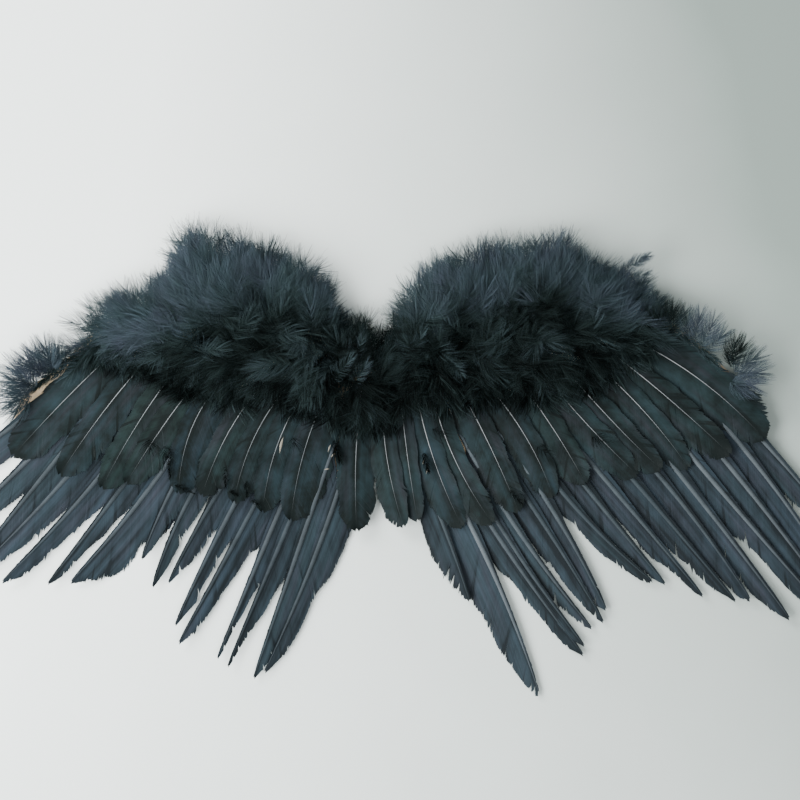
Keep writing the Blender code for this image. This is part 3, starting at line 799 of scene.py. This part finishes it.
bm = bmesh.new()
for splinter in SPLINTERS:
    made = bmesh.ops.create_uvsphere(bm, u_segments=SPLINTER_FACETS, v_segments=SPLINTER_FACETS,
                                     radius=0.5)["verts"]
    for vert in made:
        narrow = 1.0 - abs(2 * vert.co.z) ** 1.5
        vert.co.x = splinter.width * (vert.co.x * narrow + SPLINTER_CURVE * vert.co.z ** 2)
        vert.co.y = splinter.width * vert.co.y * narrow * SPLINTER_FLAT
        vert.co.z *= splinter.length
    for degrees, axis in ((-90.0, "X"), (-splinter.heading, "Z")):
        bmesh.ops.rotate(bm, verts=made, matrix=Matrix.Rotation(math.radians(degrees), 3, axis))
    bmesh.ops.translate(bm, verts=made, vec=(splinter.x, splinter.y, SPLINTER_HEIGHT))
add_piece("split_quill_ends", bm, surface("split_horn", split_horn), "flight_feather")


# Marabou trim: soft down plumes, dyed black, sewn in rows along the wings' upper edge. The lower
# rows lie over the coverts, the middle rows stand up, and the top row fans out past the card.

BARB_STEPS = 5          # points along one barb
BARB_ROOT = 0.00045     # its width at the shaft
BARB_TIP = 0.00009
BARB_WAVER = 0.0008     # how far it wavers aside
PLUMES = 500            # a wing
PLUME_BARBS_END = 0.80  # share of a plume's length over which barbs leave its shaft
CLUMPS = 9              # of barbs, along each side of a plume
CLUMP_SHADE = 0.08      # how much the shade varies from one clump of barbs to the next
TRIM_BASE = CARD_TOP + 0.004
COVERT_TOP = CARD_TOP + 0.0095
TRIM_DOME = 0.050       # how high the plumes stand above the card where the trim is widest
FULL_WIDTH = 0.130
LIT_SLATE_BLEND = 0.044     # height over which the painted light turns the plumes' ends from black to slate
LIT_SLATE_STRAY = 0.010

# The trim's outline: out from the middle, its lower and its upper edge, in metres
Edge = namedtuple("Edge", "out low high")
TRIM_EDGES = {
    LEFT: (
        Edge(0.000, 0.038, 0.112), Edge(0.012, 0.038, 0.124), Edge(0.024, 0.039, 0.140),
        Edge(0.036, 0.039, 0.130), Edge(0.046, 0.042, 0.128), Edge(0.054, 0.046, 0.148),
        Edge(0.060, 0.048, 0.172), Edge(0.076, 0.054, 0.194), Edge(0.106, 0.062, 0.205),
        Edge(0.146, 0.063, 0.217), Edge(0.186, 0.069, 0.227), Edge(0.205, 0.076, 0.224),
        Edge(0.213, 0.080, 0.190), Edge(0.236, 0.092, 0.166), Edge(0.262, 0.098, 0.163),
        Edge(0.278, 0.104, 0.153), Edge(0.287, 0.104, 0.140), Edge(0.292, 0.102, 0.120),
        Edge(0.298, 0.096, 0.106), Edge(0.335, 0.080, 0.092),
    ),
    RIGHT: (
        Edge(0.000, 0.040, 0.092), Edge(0.010, 0.046, 0.106), Edge(0.017, 0.050, 0.132),
        Edge(0.024, 0.054, 0.176), Edge(0.040, 0.057, 0.181), Edge(0.054, 0.058, 0.197),
        Edge(0.070, 0.058, 0.199), Edge(0.094, 0.064, 0.208), Edge(0.134, 0.066, 0.211),
        Edge(0.164, 0.068, 0.217), Edge(0.176, 0.070, 0.220), Edge(0.190, 0.074, 0.212),
        Edge(0.200, 0.078, 0.196), Edge(0.220, 0.092, 0.190), Edge(0.238, 0.102, 0.184),
        Edge(0.248, 0.108, 0.172), Edge(0.255, 0.110, 0.156), Edge(0.268, 0.114, 0.142),
        Edge(0.285, 0.112, 0.134),
    ),
}


def trim_edges(side, x):
    """Lower and upper edge of the trim at a distance from the middle."""
    edges = TRIM_EDGES[side]
    out = [edge.out for edge in edges]
    low = np.interp(abs(x), out, [edge.low for edge in edges])
    high = np.interp(abs(x), out, [edge.high for edge in edges])
    return low, high


def unit(vectors):
    return vectors / np.maximum(np.linalg.norm(vectors, axis=-1, keepdims=True), 1e-9)


def plume_barbs(chance, root, tip, arch, reach, count, gathered):
    """One plume: barbs leave a soft shaft on all sides, bend towards its tip and gather in tufts.
    Gives their points, the direction in which each barb is flat, and how much paler it is."""
    way = tip - root
    length = np.linalg.norm(way)
    axis = way / length
    level = unit(np.cross(axis, (0.0, 0.0, 1.0)))
    rise = np.cross(level, axis)
    along = np.sort(chance.uniform(0.04, 1.0, count))
    start = root + way * along[:, None] * PLUME_BARBS_END
    start[:, 2] += arch * 4 * (PLUME_BARBS_END * along) * (1 - PLUME_BARBS_END * along)
    turn = chance.uniform(-0.30, 1.0, count) * math.pi
    turn = np.where(chance.random(count) < 0.5, turn * 0.35, math.pi - turn * 0.35)
    splay = np.interp(along, (0.0, 0.6, 1.0), (1.15, 0.75, 0.18)) * chance.uniform(0.7, 1.25, count)
    long = reach * np.interp(along, (0.0, 0.35, 0.8, 1.0), (0.70, 1.0, 0.80, 0.60))
    long = long * chance.uniform(0.75, 1.15, count)
    sideways = level * np.cos(turn)[:, None] + rise * np.sin(turn)[:, None]
    first = axis * np.cos(splay)[:, None] + sideways * np.sin(splay)[:, None]
    fall = -4 * arch / length * (2 * PLUME_BARBS_END * along - 1)
    last = unit(axis + sideways * 0.25 + rise * (fall * 0.8)[:, None])
    step = np.linspace(0.0, 1.0, BARB_STEPS)[None, :, None]
    bend = 0.45 * step ** 2
    barbs = start[:, None] + long[:, None, None] * (
        first[:, None] * (step - bend) + last[:, None] * bend)
    clump = np.floor(along * CLUMPS + chance.uniform(0.0, 0.6, count))
    clump = clump + 2 * CLUMPS * (turn > math.pi / 2)
    shade = np.zeros(count)
    for number in np.unique(clump):
        members = clump == number
        middle = barbs[members].mean(axis=0)
        gather = gathered * step[0] ** 2
        barbs[members] += (middle - barbs[members]) * gather
        shade[members] = chance.normal(0.0, CLUMP_SHADE)
    phase = chance.uniform(0.0, 6.3, (count, 1, 1))
    barbs += chance.normal(0.0, BARB_WAVER, (count, 1, 3)) * np.sin(step * 5.0 + phase) * step
    flat = unit(np.cross(last, chance.normal(0.0, 1.0, (count, 3))))
    return barbs, flat, shade


def add_down(name, node, barbs, flats, thick, tones, material):
    """A piece of down: every barb is a narrow tapered ribbon."""
    count = len(barbs)
    bm = bmesh.new()
    bmesh.ops.create_grid(bm, x_segments=2 * count - 1, y_segments=BARB_STEPS - 1, size=0.5)
    bm.faces.ensure_lookup_table()
    between = [face for number, face in enumerate(bm.faces) if number % (2 * count - 1) % 2]
    bmesh.ops.delete(bm, geom=between, context="FACES")
    width = np.linspace(BARB_ROOT, BARB_TIP, BARB_STEPS)[None, :, None] * thick[:, None, None] / 2
    pair = np.stack((barbs - flats[:, None] * width, barbs + flats[:, None] * width), axis=1)
    places = pair.transpose(2, 0, 1, 3).reshape(-1, 3)
    along = np.repeat(np.linspace(0.0, 1.0, BARB_STEPS), 2 * count)
    tone = np.tile(np.repeat(tones, 2), BARB_STEPS)
    piece = add_piece(name, bm, material, "marabou", node)
    piece.data.vertices.foreach_set("co", places.ravel())
    for layer, values in (("along", along), ("tone", tone)):
        piece.data.attributes.new(layer, "FLOAT", "POINT").data.foreach_set("value", values)
    piece.data.update()


def down_finish(wire):
    """Black dyed down with painted light: darkest at the roots, which lie in shade, and paler slate
    where the fine ends catch the light.
    """
    place = wire.place()
    along = wire.painted("along")
    tone = wire.painted("tone")
    clouds = wire.noise(place, 40.0, 2.0)
    # Painted light: barbs are paler towards their lit ends. Each plume's tone carries painted light
    # and shade besides its own colour.
    paler = along * 0.18 + tone * 0.85 + clouds * 0.30 - 0.26
    charcoal = wire.mix(wire.ramp(paler, (0.0, 0.0), (0.5, 1.0)),
                        rgb(0.0010, 0.0020, 0.0018), rgb(0.0218, 0.0365, 0.036))
    patches = wire.ramp(wire.noise(place, 24.0, 3.0, 0.6), (0.35, 0.0), (0.65, 1.0))
    slate = wire.mix(patches, rgb(0.0395, 0.0620, 0.0740), rgb(0.0465, 0.0580, 0.0800))
    return {
        "Base Color": wire.mix(wire.ramp(paler, (0.3, 0.0), (1.0, 1.0)), charcoal, slate),
        "Roughness": 0.60 + clouds * 0.2,
        "Specular IOR Level": 0.04,
    }


down_surface = surface("marabou_down", down_finish)

# Above this line the plumes' ends are painted lit slate, below it they are nearly black: distances
# out and heights
LIT_SLATE_LINES = {
    LEFT: ((0.00, 0.05, 0.09, 0.13, 0.17, 0.20, 0.235, 0.27, 0.31, 0.386),
           (0.16, 0.155, 0.160, 0.158, 0.155, 0.138, 0.112, 0.094, 0.078, 0.05)),
    RIGHT: ((0.00, 0.06, 0.10, 0.12, 0.15, 0.18, 0.21, 0.24, 0.28, 0.388),
            (0.15, 0.138, 0.152, 0.158, 0.182, 0.172, 0.144, 0.140, 0.130, 0.08)),
}

# How far out from straight up the crest's plumes point, in degrees, along a wing
CREST_OUT = (0.00, 0.05, 0.09, 0.13, 0.18, 0.24, 0.30)
CREST_HEADINGS = (-34.0, -24.0, -8.0, 4.0, 16.0, 36.0, 48.0)
FAN_OUT = 0.050         # the lower plumes spread from this point
FAN_UP = 0.104
TRIM_ENDS = {LEFT: 0.302, RIGHT: 0.268}     # how far out the outermost plumes are sewn
FRINGE = 0.010          # how far the lowest tips hang over the coverts
DEEP_WIDE = 0.085       # the painted shade deep in the trim's middle: how wide, how high up and how tall it is
DEEP_UP = 0.060
DEEP_TALL = 0.045


def lit_slate_share(side, x, y):
    """How far painted light turns a plume's end slate at a place, from 0 to 1."""
    line = np.interp(np.abs(x), *LIT_SLATE_LINES[side])
    rise = np.clip((y - line) / LIT_SLATE_BLEND + 0.5, 0.0, 1.0)
    return rise * rise * (3 - 2 * rise)


def deep_shade_share(x, y):
    """How close a place is to the painted shade deep in the trim, low in the middle."""
    return np.exp(-(x / DEEP_WIDE) ** 2 - ((y - DEEP_UP) / DEEP_TALL) ** 2)


def crest_flow(x, y):
    """Heading of the upper plumes, in degrees out from straight up."""
    return np.interp(x, CREST_OUT, CREST_HEADINGS)


def fan_flow(x, y):
    """Heading of the lower plumes, which all point away from one place."""
    return math.degrees(math.atan2(x - FAN_OUT, y - FAN_UP))


def fringe_flow(x, y):
    """Heading of the plumes that hang over the coverts."""
    return np.interp(x, (0.0, 0.30), (170.0, 125.0))


def cowlick(x, y):
    """How far the plumes of a patch lean from their row's heading, in degrees."""
    return 20.0 * math.sin(95.0 * x + 60.0 * y) + 14.0 * math.sin(170.0 * y - 120.0 * x + 1.0)


# A sort of plume in the trim: its share of them, where it lies between the trim's lower and
# upper edge, its heading and how much that strays, its length, how high its root and its tip
# stand as shares of the dome, how it arches, its barbs' length, how many they are and how thick,
# how far they cling together at their ends, and how much paler they are. In order: the bed that
# hides the card, the long crest, its shorter upper plumes, the fan below it, loose tufts, the
# fringe over the coverts, its stray ends, and the stray ends along the top.
Sort = namedtuple("Sort", "part low high flow stray length root tip arch barb count thick "
                          "gathered tone")
SORTS = (
    Sort(0.26, 0.00, 0.72, crest_flow, 400.0, 0.040, 0.02, 0.05, 0.003, 0.042, 120, 2.6, 0.05,
         -0.08),
    Sort(0.32, 0.32, 0.72, crest_flow, 13.0, 0.080, 0.22, 0.36, 0.018, 0.036, 180, 0.8, 0.12, 0.06),
    Sort(0.12, 0.44, 0.76, crest_flow, 24.0, 0.046, 0.50, 0.78, 0.010, 0.032, 150, 0.8, 0.20, 0.04),
    Sort(0.20, 0.12, 0.52, fan_flow, 32.0, 0.046, 0.45, 0.40, 0.012, 0.028, 100, 1.0, 0.60, 0.10),
    Sort(0.08, 0.20, 0.60, crest_flow, 90.0, 0.036, 0.50, 0.85, 0.008, 0.028, 90, 1.0, 0.60, 0.14),
    Sort(0.10, 0.10, 0.24, fringe_flow, 26.0, 0.030, 0.34, 0.02, 0.008, 0.027, 80, 1.0, 0.50, 0.04),
    Sort(0.06, 0.02, 0.12, fringe_flow, 45.0, 0.026, 0.30, 0.02, 0.006, 0.036, 26, 1.2, 0.75, 0.08),
    Sort(0.14, 0.84, 0.97, crest_flow, 26.0, 0.016, 0.25, 0.34, 0.003, 0.036, 34, 1.2, 0.75, 0.04),
)
TONE = 0.05             # how pale a plume is at least, on the sorts' scale
LIT_PLUME_SHARE = 0.26          # share of the plumes painted paler, a painted highlight as if they caught more light than the rest
LIT_PLUME_TONE = 0.32
LIT_SLATE_TONES = (0.45, 0.85)      # how much paler the painted light makes a slate end, least and most
DEEP_SHADE_TONE = 0.16        # how much darker the painted shade makes the deepest part
BARB_TONE_STRAY = 0.06
GOLDEN = 0.618          # spreads the places of one sort evenly
LENGTH_STRAY = (0.8, 1.15)
LARGEST_INSET = 0.016   # how far below the trim's upper edge a plume may have to end
PAST_MIDDLE = 0.004     # how far a plume may cross to the other wing
PAST_END = 0.02
SHORTENING = 0.92       # a plume that sticks out is shortened by this, and again
SHORTENINGS = 12
TUFT_TIP = 0.6          # shares of its height: its shaft's tip, and how far the shaft arches
TUFT_ARCH = 0.3
TUFT_GATHERED = 0.50

# A tuft set by itself, at a wing's end, over the card's edge, in the middle notch or at a
# covert's tip: its root, its heading, its length, its barbs' length, its height above the
# coverts, its number of barbs and its tone
Tuft = namedtuple("Tuft", "out up heading length barb height count tone")
TUFTS = {
    LEFT: (
        Tuft(0.040, 0.098, 176.0, 0.030, 0.022, 0.010, 220, 0.02),
        Tuft(0.044, 0.094, 200.0, 0.020, 0.020, 0.010, 220, 0.06),
        Tuft(0.082, 0.126, 176.0, 0.034, 0.020, 0.062, 110, 0.60),
        Tuft(0.066, 0.114, 162.0, 0.034, 0.020, 0.060, 110, 0.56),
        Tuft(0.050, 0.098, 150.0, 0.030, 0.018, 0.050, 110, 0.58),
        Tuft(0.054, 0.074, -46.0, 0.034, 0.018, 0.054, 110, 0.60),
        Tuft(0.034, 0.068, -38.0, 0.030, 0.018, 0.050, 110, 0.55),
        Tuft(0.030, 0.094, -18.0, 0.026, 0.016, 0.050, 110, 0.62),
        Tuft(0.217, 0.011, 184.0, 0.040, 0.007, 0.008, 120, -0.05),
        Tuft(0.213, -0.027, -115.0, 0.030, 0.007, 0.008, 100, -0.05),
        Tuft(0.160, -0.010, 182.0, 0.026, 0.006, 0.008, 90, -0.05),
        Tuft(0.157, -0.034, -118.0, 0.014, 0.006, 0.008, 80, -0.05),
        Tuft(0.139, -0.024, 184.0, 0.020, 0.006, 0.008, 90, -0.05),
        Tuft(0.136, -0.043, -120.0, 0.015, 0.006, 0.008, 80, -0.05),
        Tuft(0.222, 0.010, 205.0, 0.014, 0.024, 0.010, 40, -0.05),
        Tuft(0.236, 0.018, 190.0, 0.014, 0.022, 0.010, 36, -0.05),
        Tuft(0.160, 0.056, 170.0, 0.014, 0.024, 0.012, 40, -0.05),
        Tuft(0.092, 0.020, 190.0, 0.012, 0.020, 0.010, 36, -0.05),
        Tuft(0.052, 0.017, 196.0, 0.028, 0.011, 0.006, 240, -0.10),
        Tuft(0.282, 0.126, 120.0, 0.040, 0.010, 0.004, 230, 0.40),
        Tuft(0.300, 0.118, 126.0, 0.040, 0.010, 0.003, 230, 0.38),
        Tuft(0.314, 0.109, 130.0, 0.040, 0.010, 0.003, 230, 0.36),
        Tuft(0.328, 0.100, 134.0, 0.034, 0.009, 0.003, 230, 0.40),
        Tuft(0.276, 0.120, 118.0, 0.050, 0.016, 0.004, 230, 0.36),
        Tuft(0.284, 0.114, 122.0, 0.056, 0.016, 0.004, 230, 0.32),
        Tuft(0.294, 0.107, 126.0, 0.060, 0.014, 0.003, 230, 0.30),
        Tuft(0.298, 0.112, 126.0, 0.060, 0.014, 0.003, 230, 0.36),
        Tuft(0.310, 0.104, 132.0, 0.060, 0.012, 0.003, 230, 0.30),
        Tuft(0.318, 0.098, 133.0, 0.054, 0.012, 0.003, 230, 0.28),
        Tuft(0.326, 0.092, 136.0, 0.046, 0.011, 0.003, 230, 0.30),
        Tuft(0.326, 0.090, 6.0, 0.020, 0.028, 0.016, 150, 0.80),
        Tuft(0.330, 0.088, 24.0, 0.024, 0.032, 0.018, 200, 1.00),
        Tuft(0.334, 0.084, 40.0, 0.026, 0.034, 0.016, 200, 1.10),
        Tuft(0.336, 0.082, 56.0, 0.024, 0.032, 0.016, 200, 1.10),
        Tuft(0.331, 0.086, 18.0, 0.016, 0.030, 0.022, 200, 1.05),
        Tuft(0.342, 0.078, 40.0, 0.024, 0.034, 0.016, 200, 1.05),
        Tuft(0.348, 0.072, 58.0, 0.028, 0.038, 0.018, 220, 1.15),
        Tuft(0.350, 0.068, 76.0, 0.028, 0.040, 0.018, 220, 1.20),
        Tuft(0.352, 0.064, 94.0, 0.028, 0.040, 0.016, 220, 1.20),
        Tuft(0.352, 0.060, 110.0, 0.028, 0.036, 0.014, 220, 1.15),
        Tuft(0.354, 0.055, 126.0, 0.024, 0.030, 0.012, 180, 1.00),
        Tuft(0.348, 0.069, 70.0, 0.018, 0.036, 0.024, 220, 1.10),
    ),
    RIGHT: (
        Tuft(0.028, 0.098, 20.0, 0.030, 0.018, 0.054, 110, 0.55),
        Tuft(0.062, 0.098, 150.0, 0.030, 0.018, 0.058, 110, 0.50),
        Tuft(0.122, -0.034, 136.0, 0.024, 0.007, 0.008, 110, -0.05),
        Tuft(0.037, 0.004, 165.0, 0.024, 0.009, 0.006, 200, -0.10),
        Tuft(0.046, 0.028, 115.0, 0.016, 0.020, 0.010, 36, -0.05),
        Tuft(0.205, 0.020, 120.0, 0.014, 0.022, 0.010, 36, -0.05),
        Tuft(0.150, 0.010, 130.0, 0.014, 0.020, 0.010, 36, -0.05),
        Tuft(0.234, 0.184, 62.0, 0.036, 0.016, 0.028, 300, 0.90),
        Tuft(0.236, 0.176, 78.0, 0.030, 0.014, 0.024, 120, 0.70),
        Tuft(0.284, 0.131, 127.0, 0.040, 0.010, 0.004, 260, 0.55),
        Tuft(0.298, 0.121, 127.0, 0.056, 0.010, 0.004, 300, 0.55),
        Tuft(0.312, 0.108, 132.0, 0.034, 0.009, 0.004, 240, 0.50),
        Tuft(0.278, 0.117, -4.0, 0.030, 0.028, 0.022, 180, 0.12),
        Tuft(0.280, 0.117, 12.0, 0.032, 0.028, 0.020, 180, 0.24),
        Tuft(0.281, 0.116, 30.0, 0.034, 0.026, 0.016, 150, 0.42),
        Tuft(0.272, 0.120, -18.0, 0.022, 0.026, 0.020, 150, 0.20),
        Tuft(0.302, 0.116, -6.0, 0.026, 0.026, 0.014, 150, 0.95),
        Tuft(0.308, 0.112, 10.0, 0.030, 0.028, 0.016, 170, 1.05),
        Tuft(0.314, 0.108, 26.0, 0.032, 0.028, 0.016, 190, 1.10),
        Tuft(0.320, 0.104, 44.0, 0.026, 0.026, 0.014, 150, 1.05),
        Tuft(0.342, 0.091, 14.0, 0.026, 0.026, 0.024, 230, 0.12),
        Tuft(0.343, 0.089, 32.0, 0.026, 0.028, 0.020, 190, 0.40),
        Tuft(0.346, 0.084, 60.0, 0.030, 0.030, 0.016, 190, 0.85),
        Tuft(0.347, 0.080, 84.0, 0.028, 0.032, 0.014, 190, 1.00),
        Tuft(0.345, 0.076, 106.0, 0.024, 0.030, 0.012, 170, 0.95),
        Tuft(0.343, 0.074, 130.0, 0.018, 0.020, 0.010, 130, 0.75),
    ),
}


def dome_height(side, x, y):
    """Height of the trim's rounded top above its base."""
    low, high = trim_edges(side, x)
    middle = np.clip((y - low) / (high - low), 0.0, 1.0)
    return TRIM_DOME * min(1.0, (high - low) / FULL_WIDTH) * math.sqrt(4 * middle * (1 - middle))


def place_plume(chance, side, sort, x, y):
    """Root and tip of a plume that starts at a place and stays within the trim's outline."""
    heading = math.radians(sort.flow(x, y) + cowlick(x, y) + chance.normal(0.0, sort.stray))
    way = np.array((math.sin(heading), math.cos(heading)))
    length = sort.length * chance.uniform(*LENGTH_STRAY)
    inset = chance.uniform(0.0, LARGEST_INSET)
    for _ in range(SHORTENINGS):
        end = np.array((x, y)) + way * length
        low, high = trim_edges(side, end[0])
        inside = -PAST_MIDDLE < end[0] < TRIM_ENDS[side] + PAST_END
        if inside and low - FRINGE < end[1] < high - inset:
            break
        length *= SHORTENING
    root_z = TRIM_BASE + sort.root * dome_height(side, x, y)
    tip_z = max(COVERT_TOP, TRIM_BASE + sort.tip * dome_height(side, end[0], end[1]))
    root = np.array((side * x, y, root_z))
    return root, np.array((side * end[0], end[1], tip_z)), length


def grow_plume(chance, side, sort, x, y):
    """One plume of the trim: its barbs, their flat directions, their thickness and tones."""
    root, tip, length = place_plume(chance, side, sort, x, y)
    fullness = length / sort.length
    barbs, flat, shade = plume_barbs(chance, root, tip, sort.arch * fullness,
                                     sort.barb * (0.55 + 0.45 * fullness),
                                     int(sort.count * (0.6 + 0.4 * fullness)), sort.gathered)
    # Painted highlight: some plumes are painted paler, as if they caught more light than the rest.
    tone = TONE + sort.tone + LIT_PLUME_TONE * (chance.random() < LIT_PLUME_SHARE)
    end = barbs[:, -1]
    shift = chance.normal(0.0, LIT_SLATE_STRAY)
    # Painted light: ends high on the trim are painted paler slate, where they catch the light.
    slate = lit_slate_share(side, end[:, 0], end[:, 1] + shift)
    tone = tone + shade + slate * chance.uniform(*LIT_SLATE_TONES)
    # Painted shade: plumes deep in the middle of the trim are painted darker.
    tone = tone - DEEP_SHADE_TONE * deep_shade_share(end[:, 0], end[:, 1])
    return barbs, flat, np.full(len(barbs), sort.thick), tone


def grow_tuft(chance, side, tuft):
    """One tuft that is set by itself, with the same four results."""
    heading = math.radians(tuft.heading)
    root = np.array((side * tuft.out, tuft.up, COVERT_TOP))
    tip = root + tuft.length * np.array((side * math.sin(heading), math.cos(heading), 0.0))
    tip[2] = COVERT_TOP + tuft.height * TUFT_TIP
    barbs, flat, shade = plume_barbs(chance, root, tip, tuft.height * TUFT_ARCH, tuft.barb,
                                     tuft.count, TUFT_GATHERED)
    return barbs, flat, np.full(len(barbs), 1.0), tuft.tone + shade


PIECE_TRIANGLES = 180000    # the most that one piece of down may have
TRIM_SEED = 77

for wing in (LEFT, RIGHT):
    chance = np.random.default_rng(TRIM_SEED + wing)
    across = np.linspace(0.002, TRIM_ENDS[wing], 60)
    tall = np.array([np.diff(trim_edges(wing, x))[0] for x in across])
    filled = np.cumsum(tall) / np.sum(tall)
    grown = []
    for sort in SORTS:
        plumes = round(PLUMES * sort.part)
        for number in range(plumes):
            x = np.interp((number + chance.uniform(0.0, 1.0)) / plumes, filled, across)
            low, high = trim_edges(wing, x)
            up = (number * GOLDEN + chance.uniform(0.0, 0.15)) % 1.0
            y = low + (high - low) * (sort.low + (sort.high - sort.low) * up)
            grown.append(grow_plume(chance, wing, sort, x, y))
    grown.extend(grow_tuft(chance, wing, tuft) for tuft in TUFTS[wing])
    barbs, flats, thick, tones = (np.concatenate(column) for column in zip(*grown))
    tones = tones + chance.normal(0.0, BARB_TONE_STRAY, len(tones))
    parts = math.ceil(len(barbs) * 2 * (BARB_STEPS - 1) / PIECE_TRIANGLES)
    word = SIDE_WORDS[wing]
    for part, members in enumerate(np.array_split(np.arange(len(barbs)), parts), start=1):
        add_down(f"marabou_{word}_down_{part}", f"marabou_{word}", barbs[members], flats[members],
                 thick[members], tones[members], down_surface)


# Studio: a pale floor, a wide window light low on the left, a second one behind it, and a fill.

PHOTO_MIDDLE = Vector((0.014, 0.057, 0.008))
CAMERA_DISTANCE = 3.0
CAMERA_ELEVATION = 84.0
CAMERA_LENS = 135.0     # millimetres, before a sensor of SENSOR_WIDTH
SENSOR_WIDTH = 36.0
FLOOR_SIZE = 4.0


def pale_floor(wire):
    """Pale matt paint, a little mottled, with painted shade that darkens it towards the back right.
    """
    place = wire.place()
    mottle = wire.noise(place, 6.0, 3.0)
    across = wire.node("ShaderNodeSeparateXYZ", {}, {"Vector": place}, "X")
    back = wire.node("ShaderNodeSeparateXYZ", {}, {"Vector": place}, "Y")
    # Painted shade: the floor's colour falls off towards the back right, as the lamps' light would.
    shade = wire.ramp(across * 0.90 + across * back * 1.2 + mottle * 0.10 + 0.42,
                      (0.15, 0.0), (0.95, 1.0))
    return {
        "Base Color": wire.mix(shade, rgb(0.79, 0.85, 0.83), rgb(0.205, 0.255, 0.232)),
        "Roughness": 0.75 + mottle * 0.1,
    }


bm = bmesh.new()
bmesh.ops.create_grid(bm, x_segments=8, y_segments=8, size=FLOOR_SIZE)
floor = finished("floor", bm, surface("pale_floor", pale_floor))
floor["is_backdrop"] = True


def aim(thing, place, target):
    thing.location = place
    thing.rotation_euler = (target - place).to_track_quat("-Z", "Y").to_euler()
    bpy.context.collection.objects.link(thing)


def soft_light(name, place, size, watts):
    light = bpy.data.lights.new(name, "AREA")
    light.shape = "DISK"
    light.size = size
    light.energy = watts
    aim(bpy.data.objects.new(name, light), Vector(place), PHOTO_MIDDLE)


soft_light("window", (-1.15, -0.60, 1.25), 1.4, 86.0)
soft_light("back", (-1.30, 1.10, 1.10), 1.2, 72.0)
soft_light("fill", (0.6, -0.9, 2.2), 1.6, 40.0)

world = bpy.data.worlds.new("studio")
world.use_nodes = True
room = world.node_tree.nodes["Background"].inputs
room["Color"].default_value = rgb(0.90, 0.95, 0.97)
room["Strength"].default_value = 0.30
bpy.context.scene.world = world

lens = bpy.data.cameras.new("camera")
lens.lens = CAMERA_LENS
lens.sensor_width = SENSOR_WIDTH
camera = bpy.data.objects.new("camera", lens)
tilt = math.radians(CAMERA_ELEVATION)
away = Vector((0.0, -math.cos(tilt), math.sin(tilt))) * CAMERA_DISTANCE
aim(camera, PHOTO_MIDDLE + away, PHOTO_MIDDLE)
bpy.context.scene.camera = camera

low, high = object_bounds()
